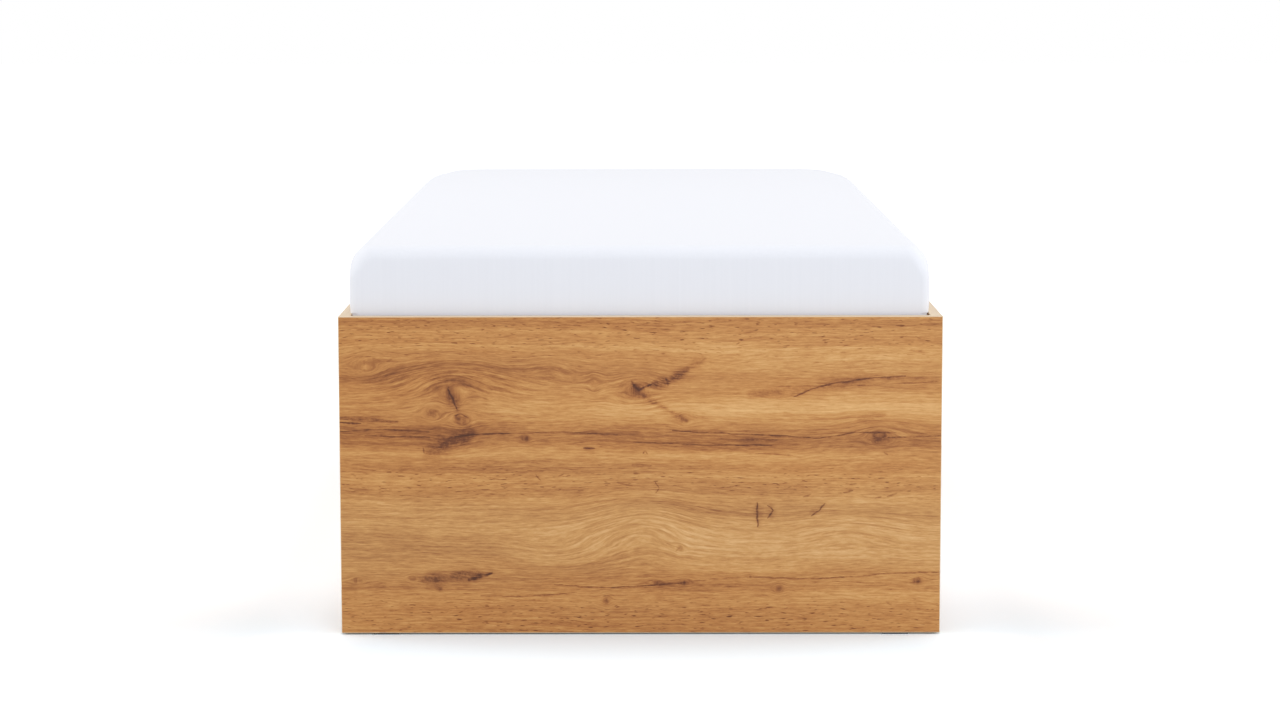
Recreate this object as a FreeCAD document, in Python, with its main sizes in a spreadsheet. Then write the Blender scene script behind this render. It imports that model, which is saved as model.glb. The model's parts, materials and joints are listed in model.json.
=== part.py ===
import FreeCAD, Part
import math
import operator
import os
import types

import Sketcher

# A storage bed: a box of four panels with a floor, and a slatted base with its mattress that lifts at the
# foot on a hinge at the head, carried by two gas springs.
# Millimetres. The origin is on the floor under the middle of the bed. X runs across the bed to the right as
# seen from the foot, Y runs from the foot to the head and Z is up.

SIZES = {
    # mattress and fitted sheet
    "mattress_width": 896,
    "mattress_length": 1994,
    "mattress_thick": 159,
    "mattress_crown": 4,
    "mattress_drawn_in": 2,
    "mattress_corner": 60,
    "mattress_top_round": 30,
    "mattress_base_round": 14,
    "mattress_sink": 55,
    "mattress_shift": 1.5,
    "sheet_thick": 0.7,
    "sheet_ease": 0.3,
    "sheet_turn": 40,
    # room round the mattress
    "side_gap": 3,
    "foot_gap": 10,
    "head_gap": 34,
    "seat_gap": 0.3,
    # box of panels
    "panel_thick": 18,
    "panel_height": 500,
    "band_thick": 1,
    "band_round": 0.6,
    "glide_height": 2.5,
    "glide_width": 16,
    "glide_length": 40,
    "glide_bevel": 1,
    "glide_inset": 70,
    # cams, bolts and dowels in the corners
    "cam_radius": 7.5,
    "cam_depth": 13,
    "cam_slot_depth": 4.5,
    "cam_setback": 34,
    "cam_row_low": 90,
    "cam_row_drop": 200,
    "bolt_radius": 3.5,
    "bolt_thread_radius": 2.5,
    "bolt_thread_length": 11,
    "dowel_radius": 4,
    "dowel_sink": 12,
    "dowel_reach": 22,
    "dowel_row_low": 45,
    "dowel_row_drop": 60,
    "bore_fit": 0.1,
    "bore_room": 1,
    # floor of the storage space
    "cleat_width": 20,
    "cleat_height": 20,
    "cleat_lift": 10,
    "bearer_width": 40,
    "bearer_spread": 680,
    "floor_thick": 3.2,
    "floor_ease": 0.5,
    "joiner_wall": 1.2,
    "joiner_reach": 10,
    # ledges that the base rests on
    "ledge_width": 30,
    "ledge_height": 40,
    "ledge_clear": 100,
    "ledge_screw_inset": 120,
    "rest_pad_thick": 3,
    "rest_pad_width": 16,
    "rest_pad_length": 60,
    # steel frame of the base
    "frame_clear": 12,
    "tube_height": 40,
    "tube_width": 20,
    "tube_wall": 1.5,
    "tube_round": 2,
    "plug_flange": 3,
    "plug_depth": 12,
    "plug_fit": 0.2,
    # slats and their holders
    "slat_width": 53,
    "slat_thick": 8,
    "slat_crown": 6,
    "slat_inset": 75,
    "slat_count": 14,
    "holder_base": 5,
    "holder_wall": 3,
    "holder_length": 36,
    "holder_overhang": 1,
    "holder_fit": 0.3,
    "holder_play": 1.6,
    "holder_round": 2,
    # lift hinge
    "lift_angle": 45,
    "hinge_back": 18,
    "hinge_drop": 22.5,
    "hinge_boss": 13,
    "hinge_pin_radius": 5,
    "hinge_head_radius": 8,
    "hinge_head_height": 3,
    "hinge_plate_thick": 3,
    "hinge_plate_drop": 85,
    "hinge_plate_foot": 45,
    "hinge_plate_reach": 45,
    "plate_round": 6,
    "bush_wall": 2.5,
    "bush_flange_radius": 11,
    "bush_fit": 0.05,
    "arm_thick": 5,
    "arm_height": 30,
    "arm_reach": 235,
    "arm_round": 15,
    "arm_bolt_inset": 25,
    "arm_bolt_pitch": 130,
    "arm_bolt_radius": 4,
    "arm_bolt_room": 0.2,
    "arm_bolt_head_radius": 7,
    "arm_bolt_head_height": 3,
    "arm_nut_height": 6.5,
    # gas springs
    "spring_clear": 20,
    "spring_reach": 320,
    "spring_drop": 26,
    "spring_spread": 60,
    "spring_radius": 11,
    "spring_end": 4,
    "spring_neck_radius": 6,
    "spring_neck": 8,
    "spring_rod_radius": 5,
    "spring_rod_fit": 0.15,
    "spring_rod_neck": 10,
    "spring_closed_gap": 14,
    "spring_guide": 30,
    "eye_radius": 10,
    "eye_width": 14,
    "eye_play": 0.3,
    "stud_radius": 4,
    "stud_fit": 0.1,
    "stud_collar_radius": 7,
    "stud_head_radius": 6,
    "stud_head_height": 2.5,
    "bracket_thick": 3,
    "bracket_half_width": 22,
    "bracket_rise": 40,
    "bracket_fall": 50,
    "bracket_screw_inset": 12,
    "tab_half_width": 30,
    "tab_tip": 14,
    "tab_lap": 32,
    # wood screws
    "screw_radius": 2,
    "screw_room": 0.2,
    "screw_head_radius": 4,
    "screw_head_height": 1.8,
    "screw_bite": 11,
    # mattress stops and pull strap
    "stop_width": 60,
    "stop_thick": 3,
    "stop_spread": 250,
    "stop_drop": 14,
    "stop_lap": 30,
    "stop_round": 15,
    "strap_width": 25,
    "strap_thick": 2,
    "strap_ease": 0.3,
    "strap_drop": 8,
}

SIDES = (("left", -1), ("right", 1))

document = FreeCAD.newDocument("storage_bed")
sizes_sheet = document.addObject("Spreadsheet::Sheet", "Sizes")
for row, (alias, number) in enumerate(SIZES.items(), start=1):
    sizes_sheet.set(f"A{row}", alias)
    sizes_sheet.set(f"B{row}", str(number))
    sizes_sheet.setAlias(f"B{row}", alias)
document.recompute()


# sizes that carry both their number and their sheet expression

OPERATIONS = {"+": operator.add, "-": operator.sub, "*": operator.mul, "/": operator.truediv}


def sized(item):
    """A plain number becomes a Size; a Size stays as it is."""
    return item if isinstance(item, Size) else Size(item, f"({item})")


def joined(first, sign, second):
    first = sized(first)
    second = sized(second)
    value = OPERATIONS[sign](first.value, second.value)
    return Size(value, f"({first.text} {sign} {second.text})")


class Size:
    """A number together with the expression on the sheet that gives it."""

    def __init__(self, value, text):
        self.value = value
        self.text = text

    def __add__(self, other):
        return joined(self, "+", other)

    def __radd__(self, other):
        return joined(other, "+", self)

    def __sub__(self, other):
        return joined(self, "-", other)

    def __rsub__(self, other):
        return joined(other, "-", self)

    def __mul__(self, other):
        return joined(self, "*", other)

    def __rmul__(self, other):
        return joined(other, "*", self)

    def __truediv__(self, other):
        return joined(self, "/", other)

    def __neg__(self):
        return joined(0, "-", self)


def sine(angle):
    return Size(math.sin(math.radians(angle.value)), f"sin({angle.text})")


def cosine(angle):
    return Size(math.cos(math.radians(angle.value)), f"cos({angle.text})")


def root(square):
    return Size(math.sqrt(square.value), f"sqrt({square.text})")


def arc_tangent(rise, run):
    angle = math.degrees(math.atan2(rise.value, run.value))
    return Size(angle, f"atan2({rise.text}; {run.text})")


s = types.SimpleNamespace(
    **{alias: Size(float(sizes_sheet.get(alias)), f"Sizes.{alias}") for alias in SIZES}
)

# places worked out from the sizes

sheet_out = s.sheet_ease + s.sheet_thick
inner_half = s.mattress_width / 2 + sheet_out + s.side_gap
outer_half = inner_half + s.panel_thick
inner_length = s.mattress_length + 2 * sheet_out + s.foot_gap + s.head_gap
head_inner = inner_length / 2
foot_inner = -head_inner
sheet_foot = foot_inner + s.foot_gap
sheet_head = head_inner - s.head_gap
mattress_foot = sheet_foot + sheet_out

panel_base = s.glide_height
panel_top = panel_base + s.panel_height
mattress_base = panel_top - s.mattress_sink
slat_top = mattress_base - s.seat_gap
slat_end_base = slat_top - s.slat_crown - s.slat_thick
tube_top = slat_end_base - s.holder_fit - s.holder_base
tube_base = tube_top - s.tube_height
tube_middle = tube_base + s.tube_height / 2
ledge_top = tube_base - s.rest_pad_thick
ledge_base = ledge_top - s.ledge_height
cleat_base = panel_base + s.cleat_lift
cleat_top = cleat_base + s.cleat_height
tube_outer = inner_half - s.frame_clear
tube_inner = tube_outer - s.tube_width

hinge_y = head_inner - s.hinge_back
hinge_z = panel_top - s.hinge_drop
rod_stud_y = hinge_y - s.spring_reach
rod_stud_z = tube_base - s.spring_drop
stud_drop = hinge_z - rod_stud_z
base_stud_y = hinge_y - s.spring_reach * cosine(s.spring_spread) + stud_drop * sine(s.spring_spread)
base_stud_z = hinge_z - s.spring_reach * sine(s.spring_spread) - stud_drop * cosine(s.spring_spread)
stud_radius_arm = root(s.spring_reach * s.spring_reach + stud_drop * stud_drop)
spring_closed = 2 * stud_radius_arm * sine(s.spring_spread / 2)
spring_open = 2 * stud_radius_arm * sine((s.spring_spread + s.lift_angle) / 2)
spring_tilt = arc_tangent(base_stud_y - rod_stud_y, rod_stud_z - base_stud_z)
spring_x = inner_half - s.spring_clear

# drawing helpers

AXES = {"X": FreeCAD.Vector(1, 0, 0), "Y": FreeCAD.Vector(0, 1, 0), "Z": FreeCAD.Vector(0, 0, 1)}
FROM_Z = {
    "X": FreeCAD.Rotation(AXES["Y"], 90),
    "Y": FreeCAD.Rotation(AXES["X"], -90),
    "Z": FreeCAD.Rotation(),
}
HALF_TURN = FreeCAD.Rotation(AXES["Z"], 180)
SAME_PLACE = 0.01
TRIG_DIGITS = 9
nodes = {}


def node(item):
    """Keeps a finished sub-part for export under its label."""
    nodes[item.Label] = item
    return item


def new_item(kind, name):
    item = document.addObject(kind, name)
    item.Label = name
    return item


def bind(item, path, size):
    item.setExpression(path, sized(size).text)


def place(item, x, y, z):
    bind(item, ".Placement.Base.x", x)
    bind(item, ".Placement.Base.y", y)
    bind(item, ".Placement.Base.z", z)


def low_end(face, direction, length):
    """The lower end of a span that leaves a face in the given direction."""
    return face if direction > 0 else face - length


def block(name, corner, length, width, height):
    item = new_item("Part::Box", name)
    bind(item, "Length", length)
    bind(item, "Width", width)
    bind(item, "Height", height)
    place(item, *corner)
    return item


def peg(name, start, axis, radius, length):
    item = new_item("Part::Cylinder", name)
    item.Placement = FreeCAD.Placement(FreeCAD.Vector(), FROM_Z[axis])
    bind(item, "Radius", radius)
    bind(item, "Height", length)
    place(item, *start)
    return item


def prism(name, start, axis, radius, length, flats):
    """A straight bar with a few flats, for small fittings and the bores that they sit in."""
    item = new_item("Part::Prism", name)
    item.Polygon = flats
    item.Placement = FreeCAD.Placement(FreeCAD.Vector(), FROM_Z[axis])
    bind(item, "Circumradius", radius)
    bind(item, "Height", length)
    place(item, *start)
    return item


def fuse(name, pieces):
    item = new_item("Part::MultiFuse", name)
    item.Shapes = pieces
    return item


def cut(name, base, tools):
    item = new_item("Part::Cut", name)
    item.Base = base
    item.Tool = fuse(f"{name}_bores", tools) if len(tools) > 1 else tools[0]
    return item


def group(name, pieces):
    item = new_item("Part::Compound", name)
    item.Links = pieces
    return item


def new_body(name, x, y, z, turn=FreeCAD.Rotation()):
    body = new_item("PartDesign::Body", name)
    body.Placement = FreeCAD.Placement(FreeCAD.Vector(), turn)
    place(body, x, y, z)
    return body


def new_sketch(body, plane):
    sketch = body.newObject("Sketcher::SketchObject", f"{body.Name}_sketch")
    support = next(item for item in body.Origin.OriginFeatures if item.Role == plane)
    sketch.AttachmentSupport = [(support, "")]
    sketch.MapMode = "FlatFace"
    return sketch


def pin_point(sketch, edge, vertex, point):
    """Holds one point of a sketch at its two coordinates."""
    for kind, size in zip(("DistanceX", "DistanceY"), point):
        size = sized(size)
        index = sketch.addConstraint(Sketcher.Constraint(kind, -1, 1, edge, vertex, size.value))
        bind(sketch, f"Constraints[{index}]", size)


def flat(point):
    return FreeCAD.Vector(sized(point[0]).value, sized(point[1]).value, 0)


def draw_outline(sketch, points):
    """A closed outline of straight edges through the given points."""
    first = sketch.GeometryCount
    count = len(points)
    for index, point in enumerate(points):
        sketch.addGeometry(Part.LineSegment(flat(point), flat(points[(index + 1) % count])))
    for index, point in enumerate(points):
        following = first + (index + 1) % count
        sketch.addConstraint(Sketcher.Constraint("Coincident", first + index, 2, following, 1))
        pin_point(sketch, first + index, 1, point)


def draw_rectangle(sketch, low, high):
    draw_outline(sketch, [low, (high[0], low[1]), high, (low[0], high[1])])


def draw_circle(sketch, centre, radius):
    edge = sketch.addGeometry(Part.Circle(flat(centre), AXES["Z"], radius.value))
    pin_point(sketch, edge, 3, centre)
    index = sketch.addConstraint(Sketcher.Constraint("Radius", edge, radius.value))
    bind(sketch, f"Constraints[{index}]", radius)


def draw_polygon(sketch, centre, radius, flats):
    """An even-sided outline with its corners on a circle, the first one straight up."""
    corners = []
    for step in range(flats):
        turn = math.pi / 2 + 2 * math.pi * step / flats
        across = radius * round(math.cos(turn), TRIG_DIGITS)
        up = radius * round(math.sin(turn), TRIG_DIGITS)
        corners.append((centre[0] + across, centre[1] + up))
    draw_outline(sketch, corners)


def pad(body, sketch, length, symmetric=False, backwards=False):
    feature = body.newObject("PartDesign::Pad", f"{body.Name}_pad")
    feature.Profile = sketch
    bind(feature, "Length", length)
    feature.SideType = "Symmetric" if symmetric else "One side"
    feature.Reversed = backwards
    return feature


def pocket(body, sketch, depth=None):
    """Cuts a sketch out of its body, to a depth along the sketch's normal or right through both ways."""
    document.recompute()
    before = body.Shape.Volume
    feature = body.newObject("PartDesign::Pocket", f"{body.Name}_pocket")
    feature.Profile = sketch
    if depth is None:
        feature.Type = "ThroughAll"
        feature.SideType = "Symmetric"
    else:
        bind(feature, "Length", depth)
        feature.Reversed = True
    document.recompute()
    if body.Shape.Volume >= before:
        raise RuntimeError(f"{feature.Label} cuts nothing")
    return feature


def revolve(body, sketch, axis):
    feature = body.newObject("PartDesign::Revolution", f"{body.Name}_revolution")
    feature.Profile = sketch
    feature.ReferenceAxis = (sketch, [axis])
    feature.Angle = 360
    return feature


def trim_corners(body, base, axis, corners, size, kind="Fillet"):
    """Rounds or bevels the edges of a feature that run along an axis through the given corners."""
    document.recompute()
    across = [index for index, name in enumerate("XYZ") if name != axis]
    wanted = [flat(corner) for corner in corners]
    names = []
    for number, edge in enumerate(base.Shape.Edges, start=1):
        start, end = edge.Vertexes[0].Point, edge.Vertexes[-1].Point
        spot = FreeCAD.Vector(start[across[0]], start[across[1]], 0)
        runs_along = (end - start).cross(AXES[axis]).Length < SAME_PLACE < edge.Length
        if runs_along and any(spot.isEqual(corner, SAME_PLACE) for corner in wanted):
            names.append(f"Edge{number}")
    feature = body.newObject(f"PartDesign::{kind}", f"{body.Name}_{kind}")
    feature.Base = (base, names)
    bind(feature, "Radius" if kind == "Fillet" else "Size", size)
    return feature


def repeat(body, sketch, axis, pitch, count):
    """Repeats the whole body in a row, as separate solids."""
    document.recompute()
    feature = body.newObject("PartDesign::LinearPattern", f"{body.Name}_row")
    feature.TransformMode = "Whole shape"
    feature.Direction = (sketch, [axis])
    bind(feature, "Length", pitch * (count - 1))
    bind(feature, "Occurrences", count)
    body.AllowCompound = True
    body.Tip = feature
    return feature


def turned(name, x, y, z, profile, turn=FreeCAD.Rotation()):
    """A turned piece on an axis along its own X, from a half profile of (x, radius) points."""
    body = new_body(name, x, y, z, turn)
    sketch = new_sketch(body, "XY_Plane")
    draw_outline(sketch, profile)
    revolve(body, sketch, "H_Axis")
    return body


def inward_turn(side):
    """Turns a piece's own X from the side panel towards the middle of the bed."""
    return HALF_TURN if side > 0 else FreeCAD.Rotation()


def outward_turn(side):
    return FreeCAD.Rotation() if side > 0 else HALF_TURN


# panels with their bores, edge bands, fittings and glides

CORNER_ENDS = (("foot", foot_inner, 1), ("head", head_inner, -1))
FITTING_FLAT_COUNT = 8
CAM_FLAT_COUNT = 16
SCREW_FLAT_COUNT = 6
cam_rows = (panel_base + s.cam_row_low, panel_top - s.cam_row_drop)
dowel_rows = (panel_base + s.dowel_row_low, panel_top - s.dowel_row_drop)
side_middle = inner_half + s.panel_thick / 2


def end_panel(end, face, direction):
    """The foot or head panel, bored in its inner face for the cam bolts and dowels of both sides."""
    core = block(
        f"{end}_panel_core",
        (-(outer_half - s.band_thick), low_end(face, -direction, s.panel_thick), panel_base + s.band_thick),
        2 * (outer_half - s.band_thick),
        s.panel_thick,
        s.panel_height - 2 * s.band_thick,
    )
    bores = []
    for side_name, side in SIDES:
        for row, height in enumerate(cam_rows):
            depth = s.bolt_thread_length + s.bore_room
            start = (side * side_middle, low_end(face, -direction, depth), height)
            radius = s.bolt_thread_radius + s.bore_fit
            name = f"{end}_{side_name}_thread_bore_{row}"
            bores.append(prism(name, start, "Y", radius, depth, FITTING_FLAT_COUNT))
        for row, height in enumerate(dowel_rows):
            depth = s.dowel_sink + s.bore_room
            start = (side * side_middle, low_end(face, -direction, depth), height)
            radius = s.dowel_radius + s.bore_fit
            name = f"{end}_{side_name}_dowel_seat_{row}"
            bores.append(prism(name, start, "Y", radius, depth, FITTING_FLAT_COUNT))
    node(cut(f"{end}_panel", core, bores))


def side_panel(side_name, side):
    """A side panel, with cam seats in its inner face and bolt and dowel bores in its ends."""
    core = block(
        f"{side_name}_side_core",
        (low_end(side * inner_half, side, s.panel_thick), foot_inner, panel_base + s.band_thick),
        s.panel_thick,
        inner_length,
        s.panel_height - 2 * s.band_thick,
    )
    bores = []
    for end, face, direction in CORNER_ENDS:
        corner = f"{side_name}_{end}"
        cam_y = face + direction * s.cam_setback
        for row, height in enumerate(cam_rows):
            seat = (low_end(side * inner_half, side, s.cam_depth), cam_y, height)
            radius = s.cam_radius + s.bore_fit
            bores.append(prism(f"{corner}_cam_seat_{row}", seat, "X", radius, s.cam_depth, CAM_FLAT_COUNT))
            start = (side * side_middle, low_end(face, direction, s.cam_setback), height)
            radius = s.bolt_radius + s.bore_fit
            name = f"{corner}_bolt_bore_{row}"
            bores.append(prism(name, start, "Y", radius, s.cam_setback, FITTING_FLAT_COUNT))
        for row, height in enumerate(dowel_rows):
            depth = s.dowel_reach + s.bore_room
            start = (side * side_middle, low_end(face, direction, depth), height)
            radius = s.dowel_radius + s.bore_fit
            bores.append(prism(f"{corner}_dowel_bore_{row}", start, "Y", radius, depth, FITTING_FLAT_COUNT))
    node(cut(f"{side_name}_side_panel", core, bores))


def cam_lock(name, side, direction, cam_y, height):
    """A cam disc flush with the panel's inner face, slotted towards the panel's end for its bolt."""
    seat = (low_end(side * inner_half, side, s.cam_depth), cam_y, height)
    disc = prism(f"{name}_disc", seat, "X", s.cam_radius, s.cam_depth, CAM_FLAT_COUNT)
    half_slot = s.bolt_radius + s.bore_room / 2
    reach = s.cam_radius + s.bore_room
    slot_face = side * (inner_half + s.cam_slot_depth)
    corner = (low_end(slot_face, side, s.cam_depth), low_end(cam_y, -direction, reach), height - half_slot)
    slot = block(f"{name}_slot", corner, s.cam_depth, reach, 2 * half_slot)
    return cut(name, disc, [slot])


def cam_bolt(name, side, face, direction, height):
    """A bolt from the cam to the end panel, with a thinner thread that is screwed into that panel."""
    shaft = s.cam_setback - s.bore_fit
    start = (side * side_middle, low_end(face, direction, shaft), height)
    shank = prism(f"{name}_shank", start, "Y", s.bolt_radius, shaft, FITTING_FLAT_COUNT)
    length = s.bolt_thread_length
    start = (side * side_middle, low_end(face, -direction, length), height)
    thread = prism(f"{name}_thread", start, "Y", s.bolt_thread_radius, length, FITTING_FLAT_COUNT)
    return fuse(name, [shank, thread])


def corner_fittings():
    """Cam locks, their bolts and the plain dowels at the four corners."""
    cams = []
    bolts = []
    dowels = []
    for side_name, side in SIDES:
        for end, face, direction in CORNER_ENDS:
            corner = f"{side_name}_{end}"
            cam_y = face + direction * s.cam_setback
            for row, height in enumerate(cam_rows):
                cams.append(cam_lock(f"{corner}_cam_{row}", side, direction, cam_y, height))
                bolts.append(cam_bolt(f"{corner}_bolt_{row}", side, face, direction, height))
            for row, height in enumerate(dowel_rows):
                length = s.dowel_sink + s.dowel_reach
                start = low_end(face + direction * s.dowel_reach, -direction, length)
                spot = (side * side_middle, start, height)
                name = f"{corner}_dowel_{row}"
                dowels.append(prism(name, spot, "Y", s.dowel_radius, length, FITTING_FLAT_COUNT))
    node(group("cam_locks", cams))
    node(group("cam_bolts", bolts))
    node(group("wood_dowels", dowels))


def edge_strip(name, corner, span, plane, length, outward):
    """One strip of edge band: a thin section with its two outer long edges eased, run along an edge."""
    body = new_body(name, *corner)
    sketch = new_sketch(body, plane)
    draw_rectangle(sketch, (0, 0), span)
    run = pad(body, sketch, length, backwards=plane == "XZ_Plane")
    low, high = (0, 0), span
    outer = {
        "top": [(low[0], high[1]), high],
        "base": [low, (high[0], low[1])],
        "left": [low, (low[0], high[1])],
        "right": [(high[0], low[1]), high],
    }[outward]
    axis = {"YZ_Plane": "X", "XZ_Plane": "Y", "XY_Plane": "Z"}[plane]
    trim_corners(body, run, axis, outer, s.band_round, "Chamfer")
    return body


def edge_bands():
    """Bands round the foot and head panels and along the long edges of the side panels."""
    strips = []
    top_start = panel_top - s.band_thick
    across = (s.panel_thick, s.band_thick)
    for end, face, direction in CORNER_ENDS:
        back = low_end(face, -direction, s.panel_thick)
        for name, height in (("top", top_start), ("base", panel_base)):
            corner = (-outer_half, back, height)
            strips.append(edge_strip(f"{end}_{name}_band", corner, across, "YZ_Plane", 2 * outer_half, name))
        for name, start in (("left", -outer_half), ("right", outer_half - s.band_thick)):
            corner = (start, back, panel_base + s.band_thick)
            upright = s.panel_height - 2 * s.band_thick
            span = (s.band_thick, s.panel_thick)
            strips.append(edge_strip(f"{end}_{name}_band", corner, span, "XY_Plane", upright, name))
    for side_name, side in SIDES:
        start = low_end(side * inner_half, side, s.panel_thick)
        for name, height in (("top", top_start), ("base", panel_base)):
            corner = (start, foot_inner, height)
            band = f"{side_name}_{name}_band"
            strips.append(edge_strip(band, corner, across, "XZ_Plane", inner_length, name))
    node(group("edge_bands", strips))


def glide(name, x, y, across, along):
    """A low plastic glide with its two long edges bevelled towards the floor."""
    body = new_body(name, x - across / 2, y - along / 2, 0)
    sketch = new_sketch(body, "XY_Plane")
    draw_rectangle(sketch, (0, 0), (across, along))
    slab = pad(body, sketch, s.glide_height)
    axis = "X" if across.value > along.value else "Y"
    corners = [(0, 0), (along if axis == "X" else across, 0)]
    trim_corners(body, slab, axis, corners, s.glide_bevel, "Chamfer")
    return body


def floor_glides():
    """Glides under the panels: two under each end and three under each side."""
    end_y = head_inner + s.panel_thick / 2
    end_x = outer_half - s.glide_inset
    side_y = head_inner - s.glide_inset
    glides = []
    for side_name, side in SIDES:
        for end, _, direction in CORNER_ENDS:
            name = f"{side_name}_{end}_glide"
            glides.append(glide(name, side * end_x, -direction * end_y, s.glide_length, s.glide_width))
        for number, share in enumerate((-1, 0, 1), start=1):
            name = f"{side_name}_glide_{number}"
            glides.append(glide(name, side * side_middle, share * side_y, s.glide_width, s.glide_length))
    node(group("floor_glides", glides))


# floor of the storage space

def storage_floor():
    """Cleats round the foot of the panels, three bearers, and two floor boards with their joining strip."""
    between = 2 * (inner_half - s.cleat_width)
    cleats = [
        block(
            f"{side_name}_cleat",
            (low_end(side * inner_half, -side, s.cleat_width), foot_inner, cleat_base),
            s.cleat_width,
            inner_length,
            s.cleat_height,
        )
        for side_name, side in SIDES
    ]
    cleats += [
        block(
            f"{end}_cleat",
            (-between / 2, low_end(face, direction, s.cleat_width), cleat_base),
            between,
            s.cleat_width,
            s.cleat_height,
        )
        for end, face, direction in CORNER_ENDS
    ]
    node(group("floor_cleats", cleats))

    bearers = []
    for name, step, drop in (("foot", -1, 0), ("middle", 0, s.joiner_wall), ("head", 1, 0)):
        corner = (-between / 2, step * s.bearer_spread - s.bearer_width / 2, cleat_base)
        bearers.append(block(f"{name}_bearer", corner, between, s.bearer_width, s.cleat_height - drop))
    node(group("floor_bearers", bearers))

    board_width = 2 * (inner_half - s.floor_ease)
    board_length = head_inner - s.floor_ease - s.joiner_wall / 2
    for end, start in (("foot", foot_inner + s.floor_ease), ("head", s.joiner_wall / 2)):
        corner = (-board_width / 2, start, cleat_top)
        node(block(f"{end}_floor_board", corner, board_width, board_length, s.floor_thick))

    strip_length = 2 * (inner_half - s.cleat_width - s.floor_ease)
    joiner = new_body("floor_joiner", -strip_length / 2, 0, cleat_top - s.joiner_wall)
    sketch = new_sketch(joiner, "YZ_Plane")
    web = s.joiner_wall / 2
    lower = s.joiner_wall
    upper = s.joiner_wall + s.floor_thick
    crest = upper + s.joiner_wall
    reach = s.joiner_reach
    half_section = [(reach, 0), (reach, lower), (web, lower), (web, upper), (reach, upper), (reach, crest)]
    draw_outline(sketch, half_section + [(-y, z) for y, z in reversed(half_section)])
    pad(joiner, sketch, strip_length)
    node(joiner)


# ledges with their screws and rest pads

ledge_end = rod_stud_y - s.ledge_clear
ledge_length = ledge_end - foot_inner
LEDGE_STEPS = 4


def along_ledge(step):
    """Even places along a ledge, from one inset to the other."""
    run = ledge_length - 2 * s.ledge_screw_inset
    return foot_inner + s.ledge_screw_inset + run * step / (LEDGE_STEPS - 1)


def wood_screw(name, side, face, y, z, grip):
    """A screw into a side panel: its head lies on the face and its shank runs out through the grip."""
    length = grip + s.screw_bite
    shank_start = (low_end(face, side, length), y, z)
    height = s.screw_head_height
    head_start = (low_end(face, -side, height), y, z)
    shank = prism(f"{name}_shank", shank_start, "X", s.screw_radius, length, SCREW_FLAT_COUNT)
    head = prism(f"{name}_head", head_start, "X", s.screw_head_radius, height, FITTING_FLAT_COUNT)
    return fuse(name, [shank, head])


def ledges():
    """A ledge along each side, screwed to the panel, with pads for the base between the screws."""
    screws = []
    pads = []
    for side_name, side in SIDES:
        inner_face = side * (inner_half - s.ledge_width)
        start = low_end(side * inner_half, -side, s.ledge_width)
        corner = (start, foot_inner, ledge_base)
        bar = block(f"{side_name}_ledge_bar", corner, s.ledge_width, ledge_length, s.ledge_height)
        holes = []
        for step in range(LEDGE_STEPS):
            name = f"{side_name}_ledge_{step}"
            y = along_ledge(step)
            z = ledge_base + s.ledge_height / 2
            radius = s.screw_radius + s.screw_room
            holes.append(prism(f"{name}_hole", (start, y, z), "X", radius, s.ledge_width, SCREW_FLAT_COUNT))
            screws.append(wood_screw(f"{name}_screw", side, inner_face, y, z, s.ledge_width))
            pad_x = side * (tube_inner + s.tube_width / 2) - s.rest_pad_width / 2
            corner = (pad_x, y - s.rest_pad_length / 2, ledge_top)
            size = (s.rest_pad_width, s.rest_pad_length, s.rest_pad_thick)
            pads.append(block(f"{name}_pad", corner, *size))
        node(cut(f"{side_name}_ledge", bar, holes))
    node(group("ledge_screws", screws))
    node(group("rest_pads", pads))


# steel frame of the base

def hollow_section(sketch, low, high):
    """The outer and inner outline of a tube's section."""
    wall = s.tube_wall
    draw_rectangle(sketch, low, high)
    draw_rectangle(sketch, (low[0] + wall, low[1] + wall), (high[0] - wall, high[1] - wall))
    return [low, (high[0], low[1]), high, (low[0], high[1])]


side_tube_foot = sheet_foot + s.plug_flange
side_tube_length = sheet_head - s.plug_flange - side_tube_foot
arm_bolt_places = (
    s.arm_bolt_inset - s.arm_reach,
    s.arm_bolt_inset + s.arm_bolt_pitch - s.arm_reach,
)


def side_tube(side_name, side):
    """A side tube with two holes across it for the bolts of the hinge arm."""
    start = side * (tube_inner + s.tube_width / 2) - s.tube_width / 2
    body = new_body(f"{side_name}_side_tube", start, side_tube_foot, tube_base)
    section = new_sketch(body, "XZ_Plane")
    corners = hollow_section(section, (0, 0), (s.tube_width, s.tube_height))
    run = pad(body, section, side_tube_length, backwards=True)
    trim_corners(body, run, "Y", corners, s.tube_round)
    holes = new_sketch(body, "YZ_Plane")
    for offset in arm_bolt_places:
        centre = (hinge_y + offset - side_tube_foot, s.tube_height / 2)
        draw_polygon(holes, centre, s.arm_bolt_radius + s.arm_bolt_room, FITTING_FLAT_COUNT)
    pocket(body, holes)
    node(body)


def cross_tube(name, start_y):
    """A tube from side to side, butted between the side tubes."""
    body = new_body(name, -tube_inner, start_y, tube_base)
    section = new_sketch(body, "YZ_Plane")
    corners = hollow_section(section, (0, 0), (s.tube_width, s.tube_height))
    run = pad(body, section, 2 * tube_inner)
    trim_corners(body, run, "X", corners, s.tube_round)
    node(body)


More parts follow.
